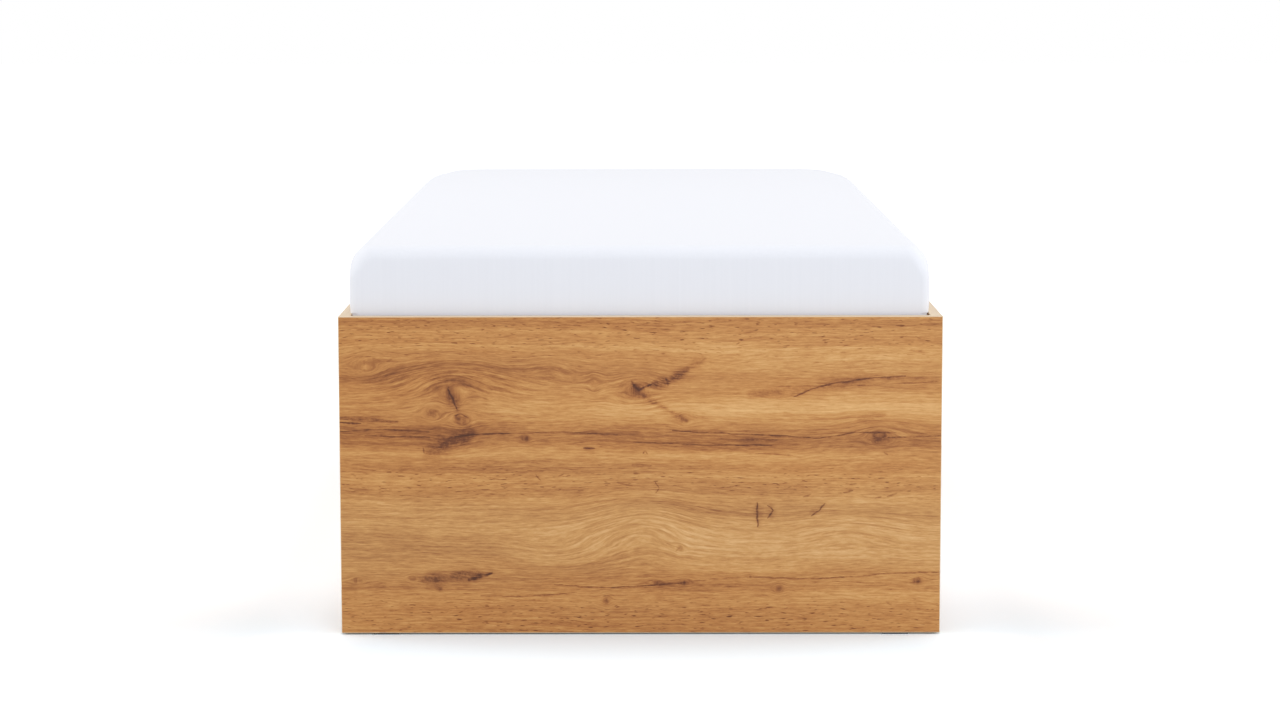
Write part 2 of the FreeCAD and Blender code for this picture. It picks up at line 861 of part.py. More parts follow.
def tube_plugs():
    """Plastic plugs in the four open ends of the side tubes."""
    plugs = []
    hollow = s.tube_wall + s.plug_fit
    ends = (("foot", side_tube_foot, 1), ("head", side_tube_foot + side_tube_length, -1))
    for side_name, side in SIDES:
        start = side * (tube_inner + s.tube_width / 2) - s.tube_width / 2
        for end, mouth, direction in ends:
            body = new_body(f"{side_name}_{end}_plug", start, mouth, tube_base)
            cover = new_sketch(body, "XZ_Plane")
            draw_rectangle(cover, (0, 0), (s.tube_width, s.tube_height))
            flange = pad(body, cover, s.plug_flange, backwards=direction < 0)
            corners = [(0, 0), (s.tube_width, 0), (s.tube_width, s.tube_height), (0, s.tube_height)]
            trim_corners(body, flange, "Y", corners, s.tube_round, "Chamfer")
            core = new_sketch(body, "XZ_Plane")
            draw_rectangle(core, (hollow, hollow), (s.tube_width - hollow, s.tube_height - hollow))
            pad(body, core, s.plug_depth, backwards=direction > 0)
            plugs.append(body)
    node(group("tube_plugs", plugs))


# slats and their holders

slat_end = tube_outer + s.holder_overhang - s.holder_wall - s.holder_fit
slat_pitch = (s.mattress_length - 2 * s.slat_inset) / (s.slat_count - 1)
first_slat_y = mattress_foot + s.slat_inset
SLAT_COUNT = int(s.slat_count.value)


def draw_arc(sketch, start, end, middle_height):
    """A shallow arc over a level chord, held by its ends and its radius."""
    half = end[0]
    rise = middle_height - end[1]
    radius = (half * half + rise * rise) / (2 * rise)
    crest = FreeCAD.Vector(0, middle_height.value, 0)
    edge = sketch.addGeometry(Part.Arc(flat(start), crest, flat(end)))
    index = sketch.addConstraint(Sketcher.Constraint("Radius", edge, radius.value))
    bind(sketch, f"Constraints[{index}]", radius)
    return edge


def slat(number):
    """A bent slat: two shallow arcs one above the other, as wide as the slat."""
    y = first_slat_y + slat_pitch * (number - 1)
    body = new_body(f"slat_{number:02d}", 0, y, slat_end_base)
    sketch = new_sketch(body, "XZ_Plane")
    thick = s.slat_thick
    left, right = (-slat_end, 0), (slat_end, 0)
    left_top, right_top = (-slat_end, thick), (slat_end, thick)
    under = draw_arc(sketch, left, right, s.slat_crown)
    over = draw_arc(sketch, left_top, right_top, s.slat_crown + thick)
    corners = {}
    for edge, ends in ((under, (left, right)), (over, (left_top, right_top))):
        for vertex in (1, 2):
            position = sketch.getPoint(edge, vertex)
            nearest = min(ends, key=lambda corner: abs(sized(corner[0]).value - position.x))
            corners[nearest] = (edge, vertex)
            pin_point(sketch, edge, vertex, nearest)
    for low, high in ((left, left_top), (right, right_top)):
        side = sketch.addGeometry(Part.LineSegment(flat(low), flat(high)))
        sketch.addConstraint(Sketcher.Constraint("Coincident", side, 1, *corners[low]))
        sketch.addConstraint(Sketcher.Constraint("Coincident", side, 2, *corners[high]))
    pad(body, sketch, s.slat_width, symmetric=True)
    node(body)


def slat_holders(side_name, side):
    """A row of plastic holders on a side tube, each with a pocket for the end of its slat."""
    half = s.slat_width / 2 + s.holder_fit + s.holder_wall
    hollow = s.slat_thick + s.holder_fit + s.holder_play
    height = s.holder_base + hollow + s.holder_wall
    mouth = tube_outer + s.holder_overhang - s.holder_length
    start_y = first_slat_y if side > 0 else first_slat_y + slat_pitch * (s.slat_count - 1)
    body = new_body(f"{side_name}_slat_holders", side * mouth, start_y, tube_top, outward_turn(side))
    section = new_sketch(body, "YZ_Plane")
    draw_rectangle(section, (-half, 0), (half, height))
    shell = pad(body, section, s.holder_length)
    trim_corners(body, shell, "X", [(-half, height), (half, height)], s.holder_round, "Chamfer")
    hole = new_sketch(body, "YZ_Plane")
    side_room = s.slat_width / 2 + s.holder_fit
    draw_rectangle(hole, (-side_room, s.holder_base), (side_room, s.holder_base + hollow))
    pocket(body, hole, s.holder_length - s.holder_wall)
    repeat(body, section, "H_Axis", slat_pitch, s.slat_count)
    node(body)


# lift hinge: fixed plate and pin, moving arm with its bush

plate_screws = []


def hinge_plate(side_name, side):
    """The fixed plate: an upright with the pin, and a foot below the mattress that takes the screws."""
    boss = s.hinge_boss
    start = low_end(side * inner_half, -side, s.hinge_plate_thick)
    body = new_body(f"{side_name}_hinge_plate", start, hinge_y, hinge_z)
    sketch = new_sketch(body, "YZ_Plane")
    floor = -s.hinge_plate_drop
    shelf = floor + s.hinge_plate_foot
    reach = -s.hinge_plate_reach
    outline = [(reach, floor), (boss, floor), (boss, boss), (-boss, boss), (-boss, shelf), (reach, shelf)]
    draw_outline(sketch, outline)
    draw_circle(sketch, (0, 0), s.hinge_pin_radius)
    inset = s.screw_head_radius + s.plate_round
    spots = [(reach + inset, floor + inset), (reach + inset, shelf - inset), (boss - inset, floor + inset)]
    for spot in spots:
        draw_polygon(sketch, spot, s.screw_radius + s.screw_room, SCREW_FLAT_COUNT)
    plate = pad(body, sketch, s.hinge_plate_thick)
    corners = [outline[0], outline[1], outline[4], outline[5]]
    foot = trim_corners(body, plate, "X", corners, s.plate_round, "Chamfer")
    trim_corners(body, foot, "X", [outline[2], outline[3]], boss - s.plate_round / 2)
    node(body)
    face = side * (inner_half - s.hinge_plate_thick)
    for number, (y, z) in enumerate(spots, start=1):
        name = f"{side_name}_hinge_screw_{number}"
        plate_screws.append(wood_screw(name, side, face, hinge_y + y, hinge_z + z, s.hinge_plate_thick))


def hinge_pins():
    """Headed pins, fast in the plates, that the arms turn on."""
    shank = s.frame_clear + s.seat_gap
    tip = shank + s.hinge_head_height
    radius = s.hinge_pin_radius
    head = s.hinge_head_radius
    profile = [(0, 0), (tip, 0), (tip, head), (shank, head), (shank, radius), (0, radius)]
    pins = [
        turned(f"{side_name}_hinge_pin", side * inner_half, hinge_y, hinge_z, profile, inward_turn(side))
        for side_name, side in SIDES
    ]
    node(group("hinge_pins", pins))


def hinge_bushes():
    """Flanged bushes pressed into the arms, with the flange between the arm and the plate."""
    bore = s.hinge_pin_radius + s.bush_fit
    sleeve = s.hinge_pin_radius + s.bush_wall
    flange_start = s.hinge_plate_thick + s.seat_gap
    arm_face = s.frame_clear - s.arm_thick
    profile = [
        (flange_start, bore),
        (s.frame_clear, bore),
        (s.frame_clear, sleeve),
        (arm_face, sleeve),
        (arm_face, s.bush_flange_radius),
        (flange_start, s.bush_flange_radius),
    ]
    bushes = [
        turned(f"{side_name}_hinge_bush", side * inner_half, hinge_y, hinge_z, profile, inward_turn(side))
        for side_name, side in SIDES
    ]
    node(group("hinge_bushes", bushes))


def hinge_arm(side_name, side):
    """The moving arm: a leg bolted along the outside of the side tube and an upright to the pin."""
    boss = s.hinge_boss
    start = low_end(side * tube_outer, side, s.arm_thick)
    body = new_body(f"{side_name}_hinge_arm", start, hinge_y, hinge_z)
    sketch = new_sketch(body, "YZ_Plane")
    middle = tube_middle - hinge_z
    low = middle - s.arm_height / 2
    high = middle + s.arm_height / 2
    reach = -s.arm_reach
    outline = [(reach, low), (boss, low), (boss, boss), (-boss, boss), (-boss, high), (reach, high)]
    draw_outline(sketch, outline)
    draw_circle(sketch, (0, 0), s.hinge_pin_radius + s.bush_wall)
    for offset in arm_bolt_places:
        draw_polygon(sketch, (offset, middle), s.arm_bolt_radius + s.arm_bolt_room, FITTING_FLAT_COUNT)
    arm = pad(body, sketch, s.arm_thick)
    bends = trim_corners(body, arm, "X", [outline[1], outline[4]], s.arm_round)
    tip = trim_corners(body, bends, "X", [outline[0], outline[5]], s.plate_round, "Chamfer")
    trim_corners(body, tip, "X", [outline[2], outline[3]], boss - s.plate_round / 2)
    node(body)


def arm_bolts():
    """Bolts with their nuts through the arms and side tubes."""
    bolts = []
    for side_name, side in SIDES:
        outer_face = side * (tube_outer + s.arm_thick)
        inner_face = side * tube_inner
        grip = s.arm_thick + s.tube_width
        for number, offset in enumerate(arm_bolt_places, start=1):
            name = f"{side_name}_arm_bolt_{number}"
            y = hinge_y + offset
            head_start = (low_end(outer_face, side, s.arm_bolt_head_height), y, tube_middle)
            shank_start = (low_end(outer_face, -side, grip), y, tube_middle)
            nut_start = (low_end(inner_face, -side, s.arm_nut_height), y, tube_middle)
            radius = s.arm_bolt_head_radius
            head = prism(f"{name}_head", head_start, "X", radius, s.arm_bolt_head_height, SCREW_FLAT_COUNT)
            shank = prism(f"{name}_shank", shank_start, "X", s.arm_bolt_radius, grip, FITTING_FLAT_COUNT)
            nut = prism(f"{name}_nut", nut_start, "X", radius, s.arm_nut_height, SCREW_FLAT_COUNT)
            bolts.append(fuse(name, [head, shank, nut]))
    node(group("arm_bolts", bolts))


# gas springs and their brackets

def stud(name, face, out, y, z, eye_middle):
    """A stud that leaves a face: a six-sided collar up to the eye, a shank through it and a head beyond."""
    collar_length = eye_middle - s.eye_width / 2 - s.eye_play
    shank_length = eye_middle + s.eye_width / 2 + s.eye_play
    collar_start = (low_end(face, out, collar_length), y, z)
    shank_start = (low_end(face, out, shank_length), y, z)
    head_start = (low_end(face + out * shank_length, out, s.stud_head_height), y, z)
    return [
        prism(f"{name}_collar", collar_start, "X", s.stud_collar_radius, collar_length, SCREW_FLAT_COUNT),
        peg(f"{name}_shank", shank_start, "X", s.stud_radius, shank_length),
        prism(f"{name}_head", head_start, "X", s.stud_head_radius, s.stud_head_height, SCREW_FLAT_COUNT),
    ]


def spring_bracket(side_name, side):
    """The lower bracket: a plate screwed to the side panel, with the stud for the spring's cylinder."""
    name = f"{side_name}_spring_bracket"
    start = low_end(side * inner_half, -side, s.bracket_thick)
    body = new_body(f"{name}_plate", start, base_stud_y, base_stud_z)
    half = s.bracket_half_width
    inset = s.bracket_screw_inset
    low, high = (-half, -s.bracket_fall), (half, s.bracket_rise)
    sketch = new_sketch(body, "YZ_Plane")
    draw_rectangle(sketch, low, high)
    spots = [(sized(0), high[1] - inset), (low[0] + inset, low[1] + inset), (high[0] - inset, low[1] + inset)]
    for spot in spots:
        draw_polygon(sketch, spot, s.screw_radius + s.screw_room, SCREW_FLAT_COUNT)
    plate = pad(body, sketch, s.bracket_thick)
    corners = [low, (high[0], low[1]), high, (low[0], high[1])]
    trim_corners(body, plate, "X", corners, s.plate_round, "Chamfer")
    steps = stud(name, side * inner_half, -side, base_stud_y, base_stud_z, s.spring_clear)
    node(fuse(name, [body] + steps))
    face = side * (inner_half - s.bracket_thick)
    for number, (y, z) in enumerate(spots, start=1):
        screw = f"{side_name}_bracket_screw_{number}"
        plate_screws.append(wood_screw(screw, side, face, base_stud_y + y, base_stud_z + z, s.bracket_thick))


def spring_tab(side_name, side):
    """The upper bracket: a tab welded to the inside of the side tube, with the stud for the spring's rod."""
    name = f"{side_name}_spring_tab"
    start = low_end(side * tube_inner, -side, s.bracket_thick)
    body = new_body(f"{name}_plate", start, rod_stud_y, rod_stud_z)
    tip = s.tab_tip
    half = s.tab_half_width
    top = s.spring_drop + s.tab_lap
    knee = s.spring_drop
    sketch = new_sketch(body, "YZ_Plane")
    outline = [(-tip, -tip), (tip, -tip), (half, knee), (half, top), (-half, top), (-half, knee)]
    draw_outline(sketch, outline)
    plate = pad(body, sketch, s.bracket_thick)
    corners = [outline[0], outline[1], outline[3], outline[4]]
    trim_corners(body, plate, "X", corners, s.plate_round, "Chamfer")
    eye_middle = s.tube_width + s.frame_clear - s.spring_clear + s.bracket_thick
    steps = stud(name, side * (tube_inner - s.bracket_thick), side, rod_stud_y, rod_stud_z, eye_middle)
    node(fuse(name, [body] + steps))


def eye(body):
    """The ring of a spring's end fitting, without its bore."""
    ring = new_sketch(body, "YZ_Plane")
    draw_circle(ring, (0, 0), s.eye_radius)
    pad(body, ring, s.eye_width, symmetric=True)


def eye_bore(body):
    bore = new_sketch(body, "YZ_Plane")
    draw_circle(bore, (0, 0), s.stud_radius + s.stud_fit)
    pocket(body, bore)


def spring_body(name, side, y, z, profile):
    """One half of a gas spring: an eye and a turned body on the line between the two studs."""
    body = new_body(name, side * spring_x, y, z, FreeCAD.Rotation(AXES["X"], spring_tilt.value))
    bind(body, ".Placement.Rotation.Angle", spring_tilt)
    eye(body)
    sketch = new_sketch(body, "XZ_Plane")
    draw_outline(sketch, profile)
    revolve(body, sketch, "V_Axis")
    eye_bore(body)
    node(body)


def gas_spring(side_name, side):
    """Cylinder on the lower stud and rod on the upper one, in line with each other at every lift."""
    neck_start = (s.stud_radius + s.eye_radius) / 2
    barrel = s.eye_radius + s.spring_neck
    rod_shoulder = s.eye_radius + s.spring_rod_neck
    mouth = spring_closed - rod_shoulder - s.spring_closed_gap
    bore = s.spring_rod_radius + s.spring_rod_fit
    cylinder = [
        (0, neck_start),
        (s.spring_neck_radius, neck_start),
        (s.spring_neck_radius, barrel),
        (s.spring_radius, barrel),
        (s.spring_radius, mouth),
        (bore, mouth),
        (bore, barrel + s.spring_end),
        (0, barrel + s.spring_end),
    ]
    spring_body(f"{side_name}_spring_cylinder", side, base_stud_y, base_stud_z, cylinder)

    rod_end = rod_shoulder + s.spring_closed_gap + spring_open - spring_closed + s.spring_guide
    rod = [
        (0, -neck_start),
        (0, -rod_end),
        (s.spring_rod_radius, -rod_end),
        (s.spring_rod_radius, -rod_shoulder),
        (s.spring_neck_radius, -rod_shoulder),
        (s.spring_neck_radius, -neck_start),
    ]
    spring_body(f"{side_name}_spring_rod", side, rod_stud_y, rod_stud_z, rod)


# mattress stops and pull strap

stop_face = sheet_head + s.seat_gap


def mattress_stops():
    """Two upright plates on the head tube that keep the mattress from sliding off the raised base."""
    low = tube_top - s.stop_lap
    height = panel_top - s.stop_drop - low
    body = new_body("mattress_stops", -s.stop_spread - s.stop_width / 2, stop_face, low)
    sketch = new_sketch(body, "XZ_Plane")
    draw_rectangle(sketch, (0, 0), (s.stop_width, height))
    plate = pad(body, sketch, s.stop_thick, backwards=True)
    trim_corners(body, plate, "Y", [(0, height), (s.stop_width, height)], s.stop_round)
    repeat(body, sketch, "H_Axis", 2 * s.stop_spread, sized(2))
    node(body)


def pull_strap():
    """Webbing looped round the foot tube, with its doubled tail standing in the gap at the foot."""
    body = new_body("pull_strap", 0, sheet_foot, tube_base)
    near = -s.strap_ease
    out = s.strap_ease + s.strap_thick
    tail = panel_top - s.strap_drop - tube_base
    sketch = new_sketch(body, "YZ_Plane")
    draw_outline(
        sketch,
        [
            (near - 2 * s.strap_thick, -out),
            (s.tube_width + out, -out),
            (s.tube_width + out, s.tube_height + out),
            (near, s.tube_height + out),
            (near, tail),
            (near - 2 * s.strap_thick, tail),
        ],
    )
    draw_rectangle(sketch, (near, near), (s.tube_width + s.strap_ease, s.tube_height + s.strap_ease))
    pad(body, sketch, s.strap_width, symmetric=True)
    node(body)


# mattress and fitted sheet

CORNER_STEPS = 6
BASE_STEPS = 2
TOP_STEPS = 4
CROWN_STEPS = 3
CROWN_REACH = 0.8
side_slope = s.mattress_drawn_in.value / (s.mattress_length.value / 2 - s.mattress_corner.value)
end_slope = s.mattress_drawn_in.value / (s.mattress_width.value / 2 - s.mattress_corner.value)


def plan_outline(inset, height):
    """The mattress in plan at one height: sides drawn in at their middle, and stepped round corners."""
    across = s.mattress_width.value / 2 - inset
    along = s.mattress_length.value / 2 - inset
    corner = max(s.mattress_corner.value - inset, s.mattress_corner.value / 2)
    side_draw = side_slope * (along - corner)
    end_draw = end_slope * (across - corner)
    middles = ((0, along - end_draw), (side_draw - across, 0), (0, end_draw - along), (across - side_draw, 0))
    spots = []
    for quarter, (x_sign, y_sign) in enumerate(((1, 1), (-1, 1), (-1, -1), (1, -1))):
        for step in range(CORNER_STEPS + 1):
            angle = math.radians(90 * (quarter + step / CORNER_STEPS))
            x = x_sign * (across - corner) + corner * math.cos(angle)
            y = y_sign * (along - corner) + corner * math.sin(angle)
            spots.append(FreeCAD.Vector(x, y, height))
        spots.append(FreeCAD.Vector(*middles[quarter], height))
    return Part.makePolygon(spots + spots[:1])


def flat_sided(loft):
    """The same form with a plane in place of each ruled face between straight edges."""
    faces = []
    for face in loft.Faces:
        spots = [vertex.Point for vertex in face.OuterWire.OrderedVertexes]
        faces.append(Part.Face(Part.makePolygon(spots + spots[:1])))
    shell = Part.makeCompound(faces)
    shell.sewShape()
    return Part.makeSolid(shell)


def soft_block(grow):
    """The mattress form, grown outwards on all sides: rounded base and top edges and a crowned top."""
    base_round = s.mattress_base_round.value + grow
    top_round = s.mattress_top_round.value + grow
    shoulder = s.mattress_thick.value - s.mattress_crown.value + grow
    sections = []
    for step in range(BASE_STEPS + 1):
        angle = math.radians(90 * step / BASE_STEPS)
        inset = base_round * (1 - math.sin(angle)) - grow
        sections.append((inset, base_round * (1 - math.cos(angle)) - grow))
    for step in range(TOP_STEPS + 1):
        angle = math.radians(90 * step / TOP_STEPS)
        inset = top_round * (1 - math.cos(angle)) - grow
        sections.append((inset, shoulder - top_round * (1 - math.sin(angle))))
    flat_edge = top_round - grow
    middle = s.mattress_width.value / 2 * CROWN_REACH
    for step in range(1, CROWN_STEPS + 1):
        share = step / CROWN_STEPS
        inset = flat_edge + (middle - flat_edge) * share
        sections.append((inset, shoulder + s.mattress_crown.value * share * (2 - share)))
    return flat_sided(Part.makeLoft([plan_outline(*section) for section in sections], True, True))


def soft_piece(name, shape):
    """A soft piece has its form worked out from the sheet's numbers, and its place bound to the sheet."""
    piece = new_item("Part::Feature", name)
    piece.Shape = shape
    place(piece, -s.mattress_shift, (sheet_foot + sheet_head) / 2, mattress_base)
    node(piece)


def mattress_and_sheet():
    out = sheet_out.value
    soft_piece("mattress", soft_block(0))
    opening = plan_outline(s.sheet_turn.value, -2 * out)
    mouth = Part.Face(opening).extrude(FreeCAD.Vector(0, 0, 2 * out + s.mattress_base_round.value / 2))
    soft_piece("fitted_sheet", soft_block(out).cut(soft_block(s.sheet_ease.value)).cut(mouth))


def build():
    for end, face, direction in CORNER_ENDS:
        end_panel(end, face, direction)
    for side_name, side in SIDES:
        side_panel(side_name, side)
    edge_bands()
    corner_fittings()
    floor_glides()
    storage_floor()
    ledges()
    for side_name, side in SIDES:
        hinge_plate(side_name, side)
        spring_bracket(side_name, side)
        side_tube(side_name, side)
        slat_holders(side_name, side)
        hinge_arm(side_name, side)
        spring_tab(side_name, side)
        gas_spring(side_name, side)
    node(group("plate_screws", plate_screws))
    hinge_pins()
    hinge_bushes()
    arm_bolts()
    cross_tube("foot_tube", sheet_foot)
    cross_tube("middle_tube", -s.tube_width / 2)
    cross_tube("head_tube", stop_face - s.tube_width)
    tube_plugs()
    for number in range(1, SLAT_COUNT + 1):
        slat(number)
    mattress_stops()
    pull_strap()
    mattress_and_sheet()


def check_document():
    """Stops before anything is written if an object failed or a sub-part has no sound shape."""
    document.recompute()
    failed = [item.Label for item in document.Objects if {"Invalid", "Error"} & set(item.State)]
    shapes = {label: item.Shape for label, item in nodes.items()}
    unsound = [
        label
        for label, shape in shapes.items()
        if shape.isNull() or not shape.isValid() or not shape.Solids
    ]
    if failed or unsound:
        raise RuntimeError(f"failed objects {failed}, unsound sub-parts {unsound}")


def export_parts():
    os.makedirs("parts", exist_ok=True)
    for label, item in nodes.items():
        item.Shape.exportStep(f"parts/{label}.step")


build()
check_document()
export_parts()
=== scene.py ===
import json
import math

import bmesh
import bpy
from mathutils import Euler, Matrix, Vector, noise


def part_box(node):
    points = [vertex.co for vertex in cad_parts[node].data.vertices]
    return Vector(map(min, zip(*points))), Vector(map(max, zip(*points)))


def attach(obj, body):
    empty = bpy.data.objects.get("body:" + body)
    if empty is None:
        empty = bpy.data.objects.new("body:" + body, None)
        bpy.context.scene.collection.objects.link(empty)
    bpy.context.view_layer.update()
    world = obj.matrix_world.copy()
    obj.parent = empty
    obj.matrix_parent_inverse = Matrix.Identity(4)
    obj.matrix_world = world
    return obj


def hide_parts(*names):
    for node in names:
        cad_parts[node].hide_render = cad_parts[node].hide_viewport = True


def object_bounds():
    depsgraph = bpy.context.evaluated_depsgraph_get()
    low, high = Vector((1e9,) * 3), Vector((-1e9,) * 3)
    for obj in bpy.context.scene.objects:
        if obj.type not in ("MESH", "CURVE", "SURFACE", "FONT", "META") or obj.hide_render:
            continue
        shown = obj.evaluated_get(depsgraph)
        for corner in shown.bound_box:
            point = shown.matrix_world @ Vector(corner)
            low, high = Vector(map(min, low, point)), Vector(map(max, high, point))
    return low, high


# A single storage bed in oak decor with a white fitted sheet, seen from its foot.
# Metres. X runs across the bed, Y from the foot to the head and Z is up.

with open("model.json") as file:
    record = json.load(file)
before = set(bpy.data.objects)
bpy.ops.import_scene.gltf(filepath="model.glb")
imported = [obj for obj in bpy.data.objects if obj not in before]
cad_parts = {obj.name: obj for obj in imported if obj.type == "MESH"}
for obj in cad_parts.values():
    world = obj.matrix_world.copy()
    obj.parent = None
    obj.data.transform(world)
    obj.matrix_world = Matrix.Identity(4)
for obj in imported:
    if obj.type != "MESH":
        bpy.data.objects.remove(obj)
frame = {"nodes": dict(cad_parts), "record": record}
cad_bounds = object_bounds()
scene = bpy.context.scene

MM = 0.001
QUARTER = math.pi / 2
# The middle of values from 0 to 1, such as those of noise and of tones.
MIDDLE = 0.5
# Sockets of a colour mix: its share and two colours going in, and the colour coming out.
MIX_INPUTS = (0, 6, 7)
MIX_RESULT = 2
# Sockets of the node groups that don't carry a plain number.
SOCKET_KINDS = {"Point": "Vector", "Start": "Vector", "Run": "Vector", "Place": "Vector", "Color": "Color"}


# colours and nodes

def srgb(red, green, blue):
    """A colour as a screen shows it, 0 to 255, turned into linear values by the sRGB curve."""
    linear = []
    for level in (red, green, blue):
        share = level / 255
        linear.append(share / 12.92 if share <= 0.04045 else ((share + 0.055) / 1.055) ** 2.4)
    return (*linear, 1.0)


class Wire:
    """The output of a node, which can be used in a formula."""

    def __init__(self, bench, socket):
        self.bench = bench
        self.socket = socket


def formula_sign(operation, turned):
    """What a sign in a formula does with a wire on its left, or turned round, on its right."""
    def join(wire, other):
        return wire.bench.math(operation, *((other, wire) if turned else (wire, other)))

    return join


for sign, operation in (("add", "ADD"), ("sub", "SUBTRACT"), ("mul", "MULTIPLY"), ("truediv", "DIVIDE")):
    setattr(Wire, f"__{sign}__", formula_sign(operation, False))
    setattr(Wire, f"__r{sign}__", formula_sign(operation, True))


class Bench:
    """A node tree while its nodes are put together."""

    def __init__(self, tree):
        self.tree = tree

    def feed(self, socket, value):
        if isinstance(value, Wire):
            self.tree.links.new(value.socket, socket)
        else:
            socket.default_value = value

    def node(self, kind, inputs=None, **settings):
        node = self.tree.nodes.new(f"ShaderNode{kind}")
        for name, value in settings.items():
            setattr(node, name, value)
        for name, value in (inputs or {}).items():
            self.feed(node.inputs[name], value)
        return node

    def out(self, node, name=0):
        return Wire(self, node.outputs[name])

    def math(self, operation, *values):
        node = self.node("Math", dict(enumerate(values)), operation=operation)
        return self.out(node)

    def most(self, first, second):
        return self.math("MAXIMUM", first, second)

    def bell(self, square):
        """1 where the squared distance is 0, fading to 0 beyond a distance of about 2."""
        return self.math("EXPONENT", 0 - square)

    def vector(self, x=0.0, y=0.0, z=0.0):
        return self.out(self.node("CombineXYZ", {0: x, 1: y, 2: z}))

    def parts(self, vector):
        split = self.node("SeparateXYZ", {0: vector})
        return [self.out(split, axis) for axis in "XYZ"]

    def cloud(self, vector, scale=1.0, detail=2.0, rough=0.5):
        """Noise about 0, within about half a unit either way."""
        node = self.node(
            "TexNoise",
            {"Vector": vector, "Scale": scale, "Detail": detail, "Roughness": rough},
        )
        return self.out(node, "Fac") - MIDDLE

    def line_cloud(self, place, detail):
        """Noise about 0 along a single measure."""
        node = self.node(
            "TexNoise", {"W": place, "Scale": 1.0, "Detail": detail}, noise_dimensions="1D"
        )
        return self.out(node, "Fac") - MIDDLE

    def step(self, value, low, high):
        """A smooth step from 0 at the low value to 1 at the high one."""
        node = self.node(
            "MapRange",
            {"Value": value, "From Min": low, "From Max": high},
            interpolation_type="SMOOTHSTEP",
        )
        return self.out(node)

    def mix(self, share, first, second):
        node = self.node("Mix", data_type="RGBA", clamp_factor=True)
        for number, value in zip(MIX_INPUTS, (share, first, second)):
            self.feed(node.inputs[number], value)
        return self.out(node, MIX_RESULT)

    def ramp(self, share, stops):
        node = self.node("ValToRGB", {0: share})
        points = node.color_ramp.elements
        while len(points) < len(stops):
            points.new(MIDDLE)
        for point, (place, colour) in zip(points, stops):
            point.position = place
            point.color = colour
        return self.out(node)

    def use(self, group, inputs):
        """Places a node group and returns its outputs by name."""
        node = self.node("Group", inputs, node_tree=group)
        return {output.name: Wire(self, output) for output in node.outputs}

    def place(self):
        """Where a point of the piece lies at rest."""
        return self.out(self.node("TexCoord"), "Object")

    def raised(self, height, depth):
        """The normal of a surface with a relief of the given depth in metres."""
        bump = self.node("Bump", {"Height": height, "Distance": depth, "Strength": 1.0})
        return self.out(bump)

    def seen(self):
        """1 for what the camera sees, also in a mirror or through glass, and 0 for light that bounces."""
        path = self.node("LightPath")
        mirrored = self.most(self.out(path, "Is Camera Ray"), self.out(path, "Is Glossy Ray"))
        return self.most(mirrored, self.out(path, "Is Transmission Ray"))


def make_group(name, inputs, outputs, fill):
    """A shader node group with named sockets. The fill function gets the inputs and returns the outputs."""
    tree = bpy.data.node_groups.new(name, "ShaderNodeTree")
    for way, labels in (("INPUT", inputs), ("OUTPUT", outputs)):
        for label in labels:
            kind = SOCKET_KINDS.get(label, "Float")
            tree.interface.new_socket(label, in_out=way, socket_type=f"NodeSocket{kind}")
    bench = Bench(tree)
    source = tree.nodes.new("NodeGroupInput")
    sink = tree.nodes.new("NodeGroupOutput")
    results = fill(bench, {label: Wire(bench, source.outputs[label]) for label in inputs})
    for label, value in results.items():
        bench.feed(sink.inputs[label], value)
    return tree


def make_material(name, fill, kind="BsdfPrincipled"):
    """A material with one shader. The fill function gets the bench and returns the shader's inputs."""
    material = bpy.data.materials.new(name)
    material.use_nodes = True
    material.node_tree.nodes.clear()
    bench = Bench(material.node_tree)
    shader = bench.node(kind, fill(bench))
    output = bench.node("OutputMaterial")
    bench.feed(output.inputs["Surface"], bench.out(shader))
    return material


def uneven(level, spread, tone):
    """A level that varies with the tone about it."""
    return level + spread * (tone - MIDDLE)


# oak decor: grain that flows round knots and swells, with dark streaks and cracks

HEART_FOCUS = 3.0
CRACK_END = 0.45
CRACK_SWELL = 2.2
PLACE_INPUTS = ("Along", "Across", "Place Along", "Place Across", "Length", "Height")
STREAK_INPUTS = (*PLACE_INPUTS, "Dark", "Shade")
SWELL_INPUTS = (*PLACE_INPUTS, "Rise", "Part", "Dark", "Shade", "Flow")
CRACK_INPUTS = ("Point", "Start", "Run", "Width", "Dark", "Shade")


def swell_fill(bench, wires):
    """Lifts or parts the grain round one place, and darkens its heart."""
    along = (wires["Along"] - wires["Place Along"]) / wires["Length"]
    rise = wires["Across"] - wires["Place Across"]
    across = rise / wires["Height"]
    square = along * along + across * across
    return {
        "Flow": wires["Flow"] - bench.bell(square) * (wires["Rise"] + wires["Part"] * rise),
        "Shade": wires["Shade"] + bench.bell(square * HEART_FOCUS) * wires["Dark"],
    }


SWELL = make_group("Grain Swell", SWELL_INPUTS, ("Flow", "Shade"), swell_fill)


def streak_fill(bench, wires):
    """A long soft band, darker or lighter than the board, that thins out towards its ends."""
    along = (wires["Along"] - wires["Place Along"]) / wires["Length"]
    across = (wires["Across"] - wires["Place Across"]) / wires["Height"]
    square = along * along
    return {"Shade": wires["Shade"] + wires["Dark"] * bench.bell(square * square + across * across)}


STREAK = make_group("Tone Streak", STREAK_INPUTS, ("Shade",), streak_fill)


